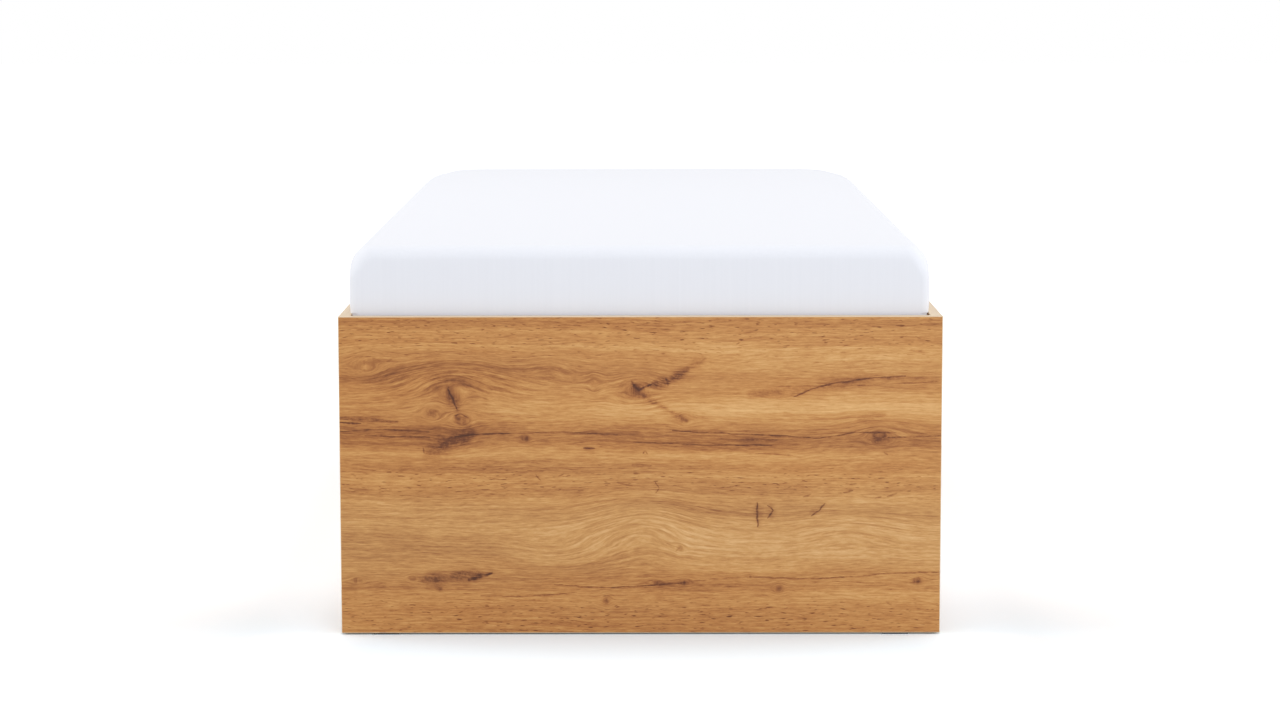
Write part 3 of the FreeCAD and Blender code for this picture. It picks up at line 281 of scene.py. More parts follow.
def crack_fill(bench, wires):
    """A dark line between two points that is widest at its middle."""
    def join(operation, first, second, output=0):
        node = bench.node("VectorMath", {0: first, 1: second}, operation=operation)
        return bench.out(node, output)

    run = wires["Run"]
    offset = join("SUBTRACT", wires["Point"], wires["Start"])
    share = join("DOT_PRODUCT", offset, run, 1) / join("DOT_PRODUCT", run, run, 1)
    share = bench.math("MINIMUM", bench.most(share, 0.0), 1.0)
    nearest = join("MULTIPLY", run, bench.vector(share, share, share))
    taper = CRACK_END + share * (1.0 - share) * CRACK_SWELL
    ratio = join("DISTANCE", offset, nearest, 1) / (wires["Width"] * taper)
    return {"Shade": bench.most(wires["Shade"], bench.bell(ratio * ratio) * wires["Dark"])}


CRACK = make_group("Grain Crack", CRACK_INPUTS, ("Shade",), crack_fill)

# Places and sizes on the board, in millimetres: along it from its middle, and up from its lower edge.
# Swells: along, up, length, height, rise of the grain, parting of the grain, darkness of the heart.
SWELLS = (
    (-292, 402, 78, 36, 26, 0.0, 0.03),
    (-425, 424, 34, 20, 0, 1.1, 0.03),
    (-140, 412, 40, 22, 8, 0.5, 0.03),
    (-290, 372, 22, 18, -6, 0.3, 0.13),
    (-324, 347, 16, 11, 0, 1.5, 0.22),
    (-279, 338, 22, 14, 0, 1.3, 0.04),
    (-300, 303, 34, 18, -4, 0.4, 0.08),
    (-180, 308, 11, 8, 0, 1.1, 0.22),
    (-4, 384, 36, 24, 3, 1.1, 0.32),
    (-72, 394, 14, 18, 0, 0.8, 0.13),
    (69, 337, 13, 11, 0, 1.1, 0.16),
    (374, 326, 60, 20, 9, 0.0, 0.0),
    (374, 308, 24, 12, 0, 1.6, 0.24),
    (180, 304, 34, 10, 0, 0.4, 0.12),
    (4, 172, 78, 50, 30, 0.0, 0.0),
    (-140, 125, 70, 30, -12, 0.0, 0.0),
    (335, 166, 85, 36, 16, 0.0, 0.0),
    (61, 134, 10, 8, 0, 1.0, 0.12),
    (-325, 85, 24, 10, 0, 0.9, 0.1),
    (-275, 92, 34, 11, 0, 0.9, 0.11),
    (-444, 83, 14, 7, 0, 1.2, 0.26),
    (-358, 86, 8, 6, 0, 1.2, 0.24),
    (-316, 69, 7, 6, 0, 1.0, 0.2),
    (-53, 50, 9, 9, 0, 1.3, 0.26),
    (70, 79, 15, 7, 0, 1.2, 0.18),
    (24, 79, 10, 5, 0, 1.0, 0.1),
    (171, 88, 9, 6, 0, 1.2, 0.24),
    (216, 70, 12, 10, 0, 1.3, 0.24),
    (433, 82, 13, 9, 0, 1.4, 0.26),
)
# Streaks: along, up, half length, half height, darkness.
STREAKS = (
    (-360, 404, 180, 22, 0.13),
    (-285, 372, 40, 16, 0.12),
    (-110, 407, 150, 18, 0.07),
    (-400, 318, 180, 22, 0.23),
    (-110, 314, 180, 15, 0.11),
    (220, 304, 290, 22, 0.15),
    (-220, 259, 270, 11, 0.1),
    (130, 192, 120, 18, 0.09),
    (-330, 126, 150, 13, 0.06),
    (-420, 147, 80, 8, 0.06),
    (-90, 110, 110, 10, 0.1),
    (-60, 79, 500, 12, 0.13),
    (-20, 13, 300, 18, 0.09),
    (-250, 490, 400, 10, 0.05),
    (310, 432, 240, 22, -0.12),
    (50, 455, 150, 12, -0.08),
    (330, 356, 210, 17, -0.24),
    (60, 356, 130, 16, -0.14),
    (-120, 354, 130, 13, -0.12),
    (200, 276, 300, 8, -0.14),
    (-200, 282, 280, 7, -0.1),
    (310, 140, 250, 44, -0.15),
    (-20, 142, 180, 36, -0.1),
    (-350, 178, 170, 16, -0.09),
    (400, 54, 180, 20, -0.08),
    (380, 220, 130, 10, -0.1),
)
# Fields where the growth lines stand out: along, up, half length, half height, and how far they do.
RING_FIELDS = (
    (-300, 395, 170, 42, 1.0),
    (-10, 378, 60, 34, 1.0),
    (10, 160, 130, 60, 1.0),
    (350, 160, 110, 36, 1.0),
)
# Smears, the soft brown stains: the points that each one runs through, half width, darkness.
SMEARS = (
    ((170, 376), (270, 386), (360, 403), 11, 0.14),
    ((360, 405), (470, 396), 8, 0.09),
    ((-262, 316), (-296, 302), (-334, 282), 14, 0.2),
    ((-300, 388), (-286, 353), 11, 0.17),
    ((-290, 342), (-264, 324), 9, 0.16),
    ((-420, 398), (-340, 408), (-260, 394), (-200, 390), 13, 0.07),
    ((183, 204), (186, 172), 9, 0.1),
    ((204, 202), (204, 182), 8, 0.1),
    ((266, 190), (288, 204), 6, 0.08),
    ((340, 336), (380, 345), 8, 0.12),
    ((20, 393), (46, 398), (74, 418), 8, 0.32),
    ((70, 416), (100, 433), 6, 0.16),
    ((2, 376), (46, 350), (72, 336), 5, 0.22),
    ((-345, 84), (-300, 85), (-252, 95), 11, 0.17),
    ((-470, 340), (-380, 335), 4, 0.22),
    ((-120, 317), (-28, 312), 4, 0.08),
    ((0, 77), (90, 79), 7, 0.09),
    ((-12, 266), (16, 265), 3, 0.16),
)
# Cracks: the same measures as for the smears, but sharp and broken.
CRACKS = (
    ((-300, 386), (-286, 353), 1.5, 0.36),
    ((-292, 343), (-280, 347), (-268, 340), 1.3, 0.26),
    ((-290, 311), (-250, 315), (-203, 316), 1.3, 0.32),
    ((-203, 316), (-120, 318), (-30, 313), 1.2, 0.2),
    ((-470, 333), (-436, 332), 1.6, 0.46),
    ((-470, 319), (-400, 322), (-330, 318), 1.2, 0.3),
    ((-430, 313), (-330, 310), 1.2, 0.26),
    ((-90, 292.5), (-72, 292.5), 1.7, 0.4),
    ((-340, 294), (-338, 284), 1.3, 0.26),
    ((-14, 398), (-4, 384), 2.6, 0.36),
    ((-4, 383), (18, 393), 2, 0.4),
    ((40, 402), (43, 392), 2.2, 0.24),
    ((238, 373), (269, 386), (307, 395), 1.4, 0.38),
    ((307, 395), (363, 403), (413, 405), 1.6, 0.32),
    ((338, 390), (382, 392), (463, 397), 1.3, 0.2),
    ((50, 320), (150, 315), (280, 308), (335, 317), (399, 316), 1.2, 0.34),
    ((-10, 302), (100, 297), (205, 297), 1.2, 0.32),
    ((180, 284), (238, 281), 1.2, 0.28),
    ((120, 307), (240, 305), 1, 0.22),
    ((385, 309), (470, 311), 1.4, 0.3),
    ((4, 284), (8, 288), (12, 283), 1.3, 0.3),
    ((379, 285), (386, 281), 1.4, 0.28),
    ((22, 238), (30, 229), (24, 222), 1.1, 0.3),
    ((-163, 251), (-156, 241), 1.1, 0.24),
    ((-36, 238), (-12, 233), 1.3, 0.24),
    ((-127, 248), (-120, 251), 1.2, 0.28),
    ((133, 230), (146, 231.5), 1.3, 0.28),
    ((224, 232), (282, 231), 1.2, 0.18),
    ((254, 215), (266, 218.5), 1.3, 0.28),
    ((317, 222), (332, 225.5), 1.5, 0.32),
    ((365, 213), (376, 215.5), 1.3, 0.26),
    ((386, 216), (400, 220), 1.4, 0.32),
    ((183, 206), (183, 168), 1.8, 0.44),
    ((199, 202), (207, 194), (199, 181), 1.3, 0.38),
    ((268, 185), (279, 193), (287, 205), 1.4, 0.4),
    ((-270, 84), (-234, 94), 3.2, 0.5),
    ((-250, 58), (-194, 57), (-100, 63), 1.3, 0.28),
    ((-136, 76), (-53, 71), (10, 74), (70, 79), 1.4, 0.32),
    ((85, 82), (165, 88), (263, 85), 1.2, 0.24),
    ((-60, 58), (-20, 60), 1.2, 0.24),
    ((263, 85), (338, 89), (382, 94), (470, 95), 1.3, 0.3),
    ((300, 81), (400, 76), (470, 85), 1.1, 0.16),
    ((40, 142), (60, 134), (54, 129), 1, 0.2),
)
# Heights on the board where open pores crowd, and the half height of each crowd.
PORE_ZONES = ((470, 36), (238, 20), (22, 34))
DECOR_REPEAT = 1.24
# Tones from dark to light: place between 0 and 1, warm colour, dull colour.
TONES = (
    (0.00, (82, 46, 29), (82, 49, 33)),
    (0.20, (118, 68, 40), (118, 74, 46)),
    (0.40, (164, 105, 58), (162, 109, 66)),
    (0.56, (190, 131, 74), (188, 136, 82)),
    (0.72, (207, 153, 91), (206, 156, 97)),
    (1.00, (230, 184, 124), (230, 188, 134)),
)
WARM_STOPS = [(place, srgb(*warm)) for place, warm, _ in TONES]
DULL_STOPS = [(place, srgb(*dull)) for place, _, dull in TONES]
# Layers of noise in the grain: waves per metre along and up the board, detail, roughness, start of the noise,
# and how far it goes, which is metres for the layers that shift the grain.
LAYERS = {
    "wave_up": (30, 70, 3, 0.6, 0, 0.005),
    "wave_along": (40, 60, 2, 0.5, 3, 0.008),
    "broad_flow": (2.2, 7, 2, 0.5, 0, 0.03),
    "fine_flow": (9, 26, 2, 0.5, 7, 0.006),
    "ragged": (5, 40, 3, 0.6, 5, 0.016),
    "mottle": (150, 260, 4, 0.7, 0, 3.2),
    "broken": (140, 220, 3, 0.6, 9, 2.2),
    "lines": (4, 230, 3, 0.65, 0, 0.45),
    "hatch": (20, 300, 1, 0.5, 6, 0.55),
    "patches": (14, 45, 3, 0.6, 4, 0.25),
    "fibres": (45, 420, 3, 0.7, 0, 0.75),
    "pores": (68, 370, 1, 0.5, 2, 1),
    "dullness": (3, 18, 2, 0.5, 13, 0.8),
    "relief": (60, 700, 1, 0.5, 0, 1),
}
# How the layers build up the tone.
PLAIN_TONE = 0.605
RING_COUNT = 46.0
RING_DETAIL = 3.0
RING_TONE = 0.25
PORE_TONE = 0.32
PORE_EDGE = (0.12, 0.22)
LONE_PORES = 0.15
MOTTLE_LEVEL = 1.0
BREAK_LEVEL = 0.85
DULL_HEIGHT = 0.155
DULL_REACH = 0.07
DULL_LEVEL = 0.15
DECOR_ROUGH = 0.46
FIBRE_ROUGH = 0.13333
PORE_ROUGH = 0.08
DECOR_GLOSS = 0.2
DECOR_RELIEF = 0.06 * MM


def decor_fill(bench, wires):
    """The printed decor. Its knots and cracks come again after each repeat, as on decor paper."""
    seed = wires["Seed"]
    up = wires["Across"]
    long_way = wires["Along"]
    half = DECOR_REPEAT / 2
    along = bench.math("WRAP", long_way, -half, half)

    def layer(name, way):
        per_along, per_up, detail, rough, start, share = LAYERS[name]
        place = bench.vector(long_way * per_along, way * per_up, seed + start)
        return bench.cloud(place, 1.0, detail, rough) * share

    def bands(rows, way_along, way_up):
        total = 0.0
        for *spans, dark in rows:
            values = (way_along, way_up, *[span * MM for span in spans], dark, total)
            total = bench.use(STREAK, dict(zip(STREAK_INPUTS, values)))["Shade"]
        return total

    def drawn(paths, point):
        total = 0.0
        for *points, width, dark in paths:
            places = [Vector((*place, 0.0)) * MM for place in points]
            for start, end in zip(places, places[1:]):
                values = (point, start, end - start, width * MM, dark, total)
                total = bench.use(CRACK, dict(zip(CRACK_INPUTS, values)))["Shade"]
        return total

    wavy_up = up + layer("wave_up", up)
    wavy_along = along + layer("wave_along", up)
    course = up
    heart = 0.0
    for *spans, part, dark in SWELLS:
        values = (wavy_along, wavy_up, *[span * MM for span in spans], part, dark, heart, course)
        swell = bench.use(SWELL, dict(zip(SWELL_INPUTS, values)))
        course = swell["Flow"]
        heart = swell["Shade"]
    flow = course + layer("broad_flow", up) + layer("fine_flow", up)
    ragged_up = course + layer("ragged", up)

    point = bench.vector(wavy_along, wavy_up)
    shade = bands(STREAKS, wavy_along, ragged_up)
    stain = heart + drawn(SMEARS, point)
    crack = drawn(CRACKS, point)
    mottle = bench.most(MOTTLE_LEVEL + layer("mottle", flow), 0.0)
    broken = bench.most(BREAK_LEVEL + layer("broken", up), 0.0)

    rings = bench.line_cloud(flow * RING_COUNT + seed, RING_DETAIL)
    growth = bands(RING_FIELDS, along, up)
    fibres = layer("fibres", flow)
    pores = bench.step(layer("pores", flow), *PORE_EDGE)
    crowd = LONE_PORES
    for height, reach in PORE_ZONES:
        share = (ragged_up - height * MM) / (reach * MM)
        crowd = crowd + bench.bell(share * share)
    tone = PLAIN_TONE + rings * RING_TONE + layer("lines", flow) + layer("patches", flow) + fibres
    tone = tone + layer("hatch", flow) * growth
    tone = tone - shade - stain * mottle - crack * broken - pores * crowd * PORE_TONE
    share = (ragged_up - DULL_HEIGHT) / DULL_REACH
    dull = bench.bell(share * share) + layer("dullness", flow) + DULL_LEVEL
    return {
        "Color": bench.mix(dull, bench.ramp(tone, WARM_STOPS), bench.ramp(tone, DULL_STOPS)),
        "Roughness": DECOR_ROUGH + fibres * FIBRE_ROUGH + pores * PORE_ROUGH,
        "Height": layer("relief", up),
    }


DECOR = make_group("Oak Decor", ("Along", "Across", "Seed"), ("Color", "Roughness", "Height"), decor_fill)


def decor_board(name, axis, direction, shift, seed, turned_over=False):
    """Oak decor with its grain along X or Y, read one way or the other from a start of its own."""
    def fill(bench):
        x, y, z = bench.parts(bench.place())
        low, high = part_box("foot_panel")
        across = high.z - z if turned_over else z - low.z
        along = (x if axis == "X" else y) * direction + shift
        decor = bench.use(DECOR, {"Along": along, "Across": across, "Seed": seed})
        return {
            "Base Color": decor["Color"],
            "Roughness": decor["Roughness"],
            "Specular IOR Level": DECOR_GLOSS,
            "Normal": bench.raised(decor["Height"], DECOR_RELIEF),
        }

    return make_material(name, fill)


# finishes of the other pieces

BROAD_SCALE = 0.12
BROAD_TONE = 0.9
FINE_TONE = 0.5
FINE_ROUGH = 0.6
SLOW_SCALE = 9.0
SLOW_TONE = 1.2
SPECK_TONE = 0.4
SLUBS = 240.0
SLUB_TONE = 0.8
THREAD_TONE = 0.10
NO_TURN = (0.0, 0.0, 0.0)
X_TO_Y = (0.0, 0.0, QUARTER)
Y_TO_X = (0.0, 0.0, -QUARTER)
WOOD_FIBRES = 420.0
WOOD_ROUGH = 0.5
WOOD_GLOSS = 0.35
WOOD_RELIEF = 0.12 * MM
BAND_GRAIN = {"Along": 14.0, "Across": 520.0}
BAND_ROUGH = 0.42
BAND_RELIEF = 0.05 * MM
CLOTH_ROUGH = 0.9
CLOTH_GLOSS = 0.2
SHEEN_ROUGH = 0.5
# How much the roughness varies with the tone.
WOOD_SPREAD = 0.2
BAND_SPREAD = 0.15
GRAIN_SPREAD = 0.16
CLOTH_SPREAD = 0.06


def grain_fill(bench, wires):
    """Plain straight grain along one direction, with fine pores."""
    x, y, z = bench.parts(wires["Place"])
    stretched = bench.vector(x * wires["Along"], y * wires["Across"], z * wires["Across"])
    broad = bench.cloud(stretched, scale=BROAD_SCALE)
    fine = bench.cloud(stretched, detail=3.0, rough=FINE_ROUGH)
    return {"Tone": MIDDLE + broad * BROAD_TONE + fine * FINE_TONE, "Height": fine}


GRAIN = make_group("Straight Grain", ("Place", "Along", "Across"), ("Tone", "Height"), grain_fill)


def speckle_fill(bench, wires):
    """The fine grain of a moulded or sprayed surface, with a slow change of tone."""
    fine = bench.cloud(wires["Place"], scale=wires["Scale"])
    slow = bench.cloud(wires["Place"], scale=SLOW_SCALE, detail=3.0)
    return {"Tone": MIDDLE + slow * SLOW_TONE + fine * SPECK_TONE, "Height": fine}


SPECKLE = make_group("Surface Grain", ("Place", "Scale"), ("Tone", "Height"), speckle_fill)


def weave_fill(bench, wires):
    """Threads over and under each other, in two directions of the cloth."""
    turn = 4 * QUARTER
    warp = bench.math("SINE", wires["Along"] * (turn / wires["Pitch"]))
    weft = bench.math("SINE", wires["Across"] * (turn / wires["Pitch"]))
    slub = bench.cloud(bench.vector(wires["Along"] * SLUBS, wires["Across"] * SLUBS))
    return {"Tone": MIDDLE + slub * SLUB_TONE + warp * weft * THREAD_TONE, "Height": warp * weft + slub}


WEAVE = make_group("Plain Weave", ("Along", "Across", "Pitch"), ("Tone", "Height"), weave_fill)


def straight_wood(name, dark, light, along, turn):
    """Plain wood whose grain runs along X, or along the direction that the turn brings to X."""
    def fill(bench):
        mapping = bench.node("Mapping", {"Vector": bench.place(), "Rotation": turn})
        grain = bench.use(GRAIN, {"Place": bench.out(mapping), "Along": along, "Across": WOOD_FIBRES})
        return {
            "Base Color": bench.mix(grain["Tone"], srgb(*dark), srgb(*light)),
            "Roughness": uneven(WOOD_ROUGH, WOOD_SPREAD, grain["Tone"]),
            "Specular IOR Level": WOOD_GLOSS,
            "Normal": bench.raised(grain["Height"], WOOD_RELIEF),
        }

    return make_material(name, fill)


def grained_finish(name, dark, light, scale, depth, rough, metal=0.0, coat=0.0):
    """A moulded plastic, a sprayed coat or a plated metal."""
    def fill(bench):
        speckle = bench.use(SPECKLE, {"Place": bench.place(), "Scale": scale})
        return {
            "Base Color": bench.mix(speckle["Tone"], srgb(*dark), srgb(*light)),
            "Roughness": uneven(rough, GRAIN_SPREAD, speckle["Tone"]),
            "Metallic": metal,
            "Coat Weight": coat,
            "Normal": bench.raised(speckle["Height"], depth * MM),
        }

    return make_material(name, fill)


def woven_cloth(name, dark, light, pitch, depth, sheen, axes):
    """A woven cloth with the threads along two of the piece's own axes."""
    def fill(bench):
        places = dict(zip("XYZ", bench.parts(bench.place())))
        along, across = [places[axis] for axis in axes]
        weave = bench.use(WEAVE, {"Along": along, "Across": across, "Pitch": pitch * MM})
        return {
            "Base Color": bench.mix(weave["Tone"], srgb(*dark), srgb(*light)),
            "Roughness": uneven(CLOTH_ROUGH, CLOTH_SPREAD, weave["Tone"]),
            "Specular IOR Level": CLOTH_GLOSS,
            "Sheen Weight": sheen,
            "Sheen Roughness": SHEEN_ROUGH,
            "Normal": bench.raised(weave["Height"], depth * MM),
        }

    return make_material(name, fill)


def band_fill(bench):
    """Edge band: a pale print of straight grain along each strip."""
    place = bench.place()
    _, y, _ = bench.parts(place)
    end_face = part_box("left_side_panel")[1].y
    on_end = bench.math("GREATER_THAN", bench.math("ABSOLUTE", y), end_face)
    turned = bench.out(bench.node("Mapping", {"Vector": place, "Rotation": X_TO_Y}))
    across = bench.use(GRAIN, {"Place": place, **BAND_GRAIN})["Tone"]
    along = bench.use(GRAIN, {"Place": turned, **BAND_GRAIN})["Tone"]
    tone = along + on_end * (across - along)
    return {
        "Base Color": bench.mix(tone, srgb(208, 180, 142), srgb(232, 211, 180)),
        "Roughness": uneven(BAND_ROUGH, BAND_SPREAD, tone),
        "Normal": bench.raised(tone, BAND_RELIEF),
    }


# Plain woods: dark and light tone, waves of the grain per metre, and its turn.
BEECH = ((186, 146, 100), (226, 190, 146), 9.0, NO_TURN)
PINE = ((190, 150, 98), (226, 192, 142), 7.0)
# Moulded, sprayed or plated finishes: name, dark and light tone, grains per metre, relief in millimetres,
# roughness, and for some metal and clear coat.
GRAINED = {
    "zinc_steel": ("bright_zinc", (150, 154, 158), (205, 208, 210), 1600, 0.01, 0.32, 1.0),
    "white_hardboard": ("white_hardboard", (231, 231, 228), (240, 240, 238), 700, 0.02, 0.4),
    "white_plastic": ("white_plastic", (224, 224, 220), (238, 238, 236), 900, 0.02, 0.38),
    "black_plastic": ("black_plastic", (26, 26, 27), (46, 46, 48), 1800, 0.04, 0.52),
    "bush_plastic": ("bush_plastic", (196, 190, 176), (222, 217, 204), 1400, 0.02, 0.4),
    "frame_paint": ("frame_paint", (52, 53, 56), (74, 75, 78), 1100, 0.05, 0.44, 0.0, 0.15),
    "spring_paint": ("spring_paint", (22, 22, 24), (36, 36, 38), 1500, 0.02, 0.3, 0.0, 0.3),
    "rod_chrome": ("polished_rod", (206, 208, 212), (226, 227, 230), 2200, 0.003, 0.14, 1.0),
}
# Woven cloths: name, dark and light tone, pitch and depth of the weave in millimetres, sheen, threads' axes.
WOVEN = {
    "felt": ("grey_felt", (96, 96, 98), (134, 134, 136), 0.9, 0.3, 0.2, "XY"),
    "webbing": ("strap_webbing", (34, 35, 38), (64, 65, 70), 2.2, 0.25, 0.2, "XZ"),
    "thread": ("strap_thread", (150, 150, 152), (196, 196, 198), 0.5, 0.08, 0.2, "XZ"),
    "mattress_ticking": ("mattress_ticking", (218, 219, 220), (240, 241, 242), 2.6, 0.2, 0.2, "XY"),
    "sheet_cotton": ("sheet_cotton", (234, 236, 243), (238, 240, 247), 0.7, 0.004, 0.1, "XY"),
}
finishes = {
    "edge_band": make_material("pale_edge_band", band_fill),
    "beech": straight_wood("bent_beech", *BEECH),
    "plain_timber": straight_wood("planed_pine", *PINE, Y_TO_X),
    **{slot: grained_finish(*row) for slot, row in GRAINED.items()},
    **{slot: woven_cloth(*row) for slot, row in WOVEN.items()},
}
own_finishes = {
    "foot_panel": decor_board("oak_decor_foot", "X", 1.0, 0.0, 4.0),
    "head_panel": decor_board("oak_decor_head", "X", -1.0, 0.26, 11.0, turned_over=True),
    "left_side_panel": decor_board("oak_decor_left", "Y", 1.0, 0.42, 23.0),
    "right_side_panel": decor_board("oak_decor_right", "Y", -1.0, 0.17, 37.0, turned_over=True),
    "floor_bearers": straight_wood("planed_pine_across", *PINE, NO_TURN),
}
for entry in frame["record"]["subparts"]:
    finish = own_finishes.get(entry["node"]) or finishes[entry["material_slot"]]
    part = frame["nodes"][entry["node"]]
    part.data.materials.clear()
    part.data.materials.append(finish)


# mattress and fitted sheet

CORNER_SIGNS = ((1, 1), (-1, 1), (-1, -1), (1, -1))
CORNER_STEPS = 14
SIDE_STEPS = 72
END_STEPS = 34
EDGE_STEPS = 14
END_CELLS = END_STEPS + CORNER_STEPS
SIDE_CELLS = SIDE_STEPS + CORNER_STEPS
FOOT_CORNER = 36 * MM
HEAD_CORNER = 56 * MM
WALL_CORNER = 14 * MM
SIDE_ROUND = 34 * MM
FOOT_ROUND = 22 * MM
HEAD_ROUND = 28 * MM
BASE_ROUND = 14 * MM
BETWEEN_BULGE = 1.0 * MM
OVER_BULGE = 2.2 * MM
FREE_BULGE = 1.2 * MM
TOP_NARROWING = 1.0 * MM
# Heights from the panels' tops between which each bulge grows, and the tight corners begin and end.
BETWEEN_RISE = (-12 * MM, 0.0)
OVER_RISE = (0.2 * MM, 2.4 * MM)
FREE_RISE = (0.0, 18 * MM)
NARROWING_RISE = (40 * MM, 90 * MM)
WALL_START = (-40 * MM, -10 * MM)
WALL_END = (58 * MM, 95 * MM)
# Heights of the rows of points in the wall, in millimetres from the panels' tops.
WALL_LEVELS = (-26, -14, -6, -2, 0, 0.6, 1.2, 1.8, 2.4, 3.4, 5, 8, 12, 17, 23, 30, 38)
UPPER_STEPS = 5
TOP_LIFT = 2 * MM
TOP_CROWN = 3 * MM
HEAD_DROOP = 20 * MM
DROOP_REACH = 300 * MM
DROOP_EDGE = 42 * MM
WAVE_HEIGHT = 0.7 * MM
WAVES = Vector((2.6, 1.9, 5.0))
HEM_TURN = 26 * MM
UNDER_RINGS = 8
FIELD_SIDE = 54 * MM
FIELD_END = 41 * MM
FIELD_HEAD_CORNER = 20 * MM
FIELD_FOOT_CORNER = 8 * MM
MARGIN_RINGS = 4

mattress_low, mattress_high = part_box("mattress")
sheet_low, sheet_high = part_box("fitted_sheet")
panel_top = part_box("edge_bands")[1].z


def add_piece(name, mesh, material, body, smooth=True):
    """Puts a mesh into the scene as a piece that rides on a body."""
    for polygon in mesh.polygons:
        polygon.use_smooth = smooth
    mesh.materials.append(material)
    piece = bpy.data.objects.new(name, mesh)
    scene.collection.objects.link(piece)
    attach(piece, body)
    return piece


def soft_piece(name, vertices, faces, body, slot, node, smooth=True):
    """A new piece in the finish of its slot that stands for a CAD node."""
    mesh = bpy.data.meshes.new(name)
    mesh.from_pydata([tuple(vertex) for vertex in vertices], [], faces)
    mesh.validate()
    work = bmesh.new()
    work.from_mesh(mesh)
    bmesh.ops.recalc_face_normals(work, faces=work.faces)
    work.to_mesh(mesh)
    work.free()
    piece = add_piece(name, mesh, finishes[slot], body, smooth)
    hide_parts(node)
    return piece


def ring_faces(first, rings, count):
    """Faces between rings of points that are numbered one after the other from the first number on."""
    faces = []
    for start in range(first, first + (rings - 1) * count, count):
        for step in range(count):
            following = (step + 1) % count
            faces.append((start + step, start + following, start + count + following, start + count + step))
    return faces


def rounding(steps):
    """Points of a rounded edge from the wall to the face: how far in and how far from the face, in radii."""
    angles = [QUARTER * step / steps for step in range(steps + 1)]
    return [(1 - math.cos(angle), 1 - math.sin(angle)) for angle in angles]


def heading(angle):
    return Vector((math.cos(angle), math.sin(angle)))


def limited(share):
    return min(max(share, 0.0), 1.0)


def smooth_step(value, low, high):
    share = limited((value - low) / (high - low))
    return share * share * (3 - 2 * share)


def plan_ring(half_width, half_length, head_corner, foot_corner):
    """Points round the mattress in plan, each with the direction that its side faces."""
    ring = []
    centres = []
    radii = (head_corner, head_corner, foot_corner, foot_corner)
    for (x_sign, y_sign), radius in zip(CORNER_SIGNS, radii):
        centres.append(Vector((x_sign * (half_width - radius), y_sign * (half_length - radius))))
    for quarter, (centre, radius) in enumerate(zip(centres, radii)):
        for step in range(CORNER_STEPS + 1):
            facing = heading(QUARTER * (quarter + step / CORNER_STEPS))
            ring.append((centre + radius * facing, facing))
        following = (quarter + 1) % len(centres)
        facing = Vector((-math.sin(QUARTER * quarter), math.cos(QUARTER * quarter)))
        start = centre + radius * facing
        end = centres[following] + radii[following] * facing
        count = SIDE_STEPS if quarter % 2 else END_STEPS
        ring += [(start.lerp(end, step / count), facing) for step in range(1, count)]
    return ring


def across_rim(rim, rim_first, inner_first):
    """Closes a rim with an even grid that runs between the middles of its four corners.

    Gives the plan of the points inside the rim, and the faces. The rim's points and the ones inside it are
    numbered from the two given numbers on.
    """
    corner = CORNER_STEPS // 2
    numbers = {}
    for column in range(END_CELLS + 1):
        numbers[0, column] = rim_first + (corner + column) % len(rim)
        numbers[SIDE_CELLS, column] = rim_first + (corner - SIDE_CELLS - column) % len(rim)
    for row in range(SIDE_CELLS):
        numbers[row, 0] = rim_first + (corner - row) % len(rim)
        numbers[row, END_CELLS] = rim_first + (corner + END_CELLS + row) % len(rim)

    def on_rim(row, column):
        return rim[numbers[row, column] - rim_first]

    def blended(row, column):
        down = row / SIDE_CELLS
        over = column / END_CELLS
        ends = on_rim(0, column).lerp(on_rim(SIDE_CELLS, column), down)
        sides = on_rim(row, 0).lerp(on_rim(row, END_CELLS), over)
        head = on_rim(0, 0).lerp(on_rim(0, END_CELLS), over)
        foot = on_rim(SIDE_CELLS, 0).lerp(on_rim(SIDE_CELLS, END_CELLS), over)
        return ends + sides - head.lerp(foot, down)

    inner = []
    for row in range(1, SIDE_CELLS):
        for column in range(1, END_CELLS):
            numbers[row, column] = inner_first + len(inner)
            inner.append(blended(row, column))
    faces = []
    for row in range(SIDE_CELLS):
        for column in range(END_CELLS):
            cell = ((row, column), (row, column + 1), (row + 1, column + 1), (row + 1, column))
            faces.append([numbers[place] for place in cell])
    return inner, faces


def top_round(facing):
    """Radius of the top edge on the side that faces this way."""
    end_round = FOOT_ROUND if facing.y < 0 else HEAD_ROUND
    return SIDE_ROUND * facing.x ** 2 + end_round * facing.y ** 2


def side_bulge(height):
    """How far the sides swell out: little between the panels, at once over their tops, most above them."""
    above = height - panel_top
    between = BETWEEN_BULGE * smooth_step(above, *BETWEEN_RISE)
    over = OVER_BULGE * smooth_step(above, *OVER_RISE)
    free = FREE_BULGE * smooth_step(above, *FREE_RISE)
    return between + over + free - TOP_NARROWING * smooth_step(above, *NARROWING_RISE)


def wall_share(height):
    """1 where the corners at the foot are as tight as in the middle of the wall, 0 at the top and below."""
    above = height - panel_top
    return smooth_step(above, *WALL_START) * (1 - smooth_step(above, *WALL_END))


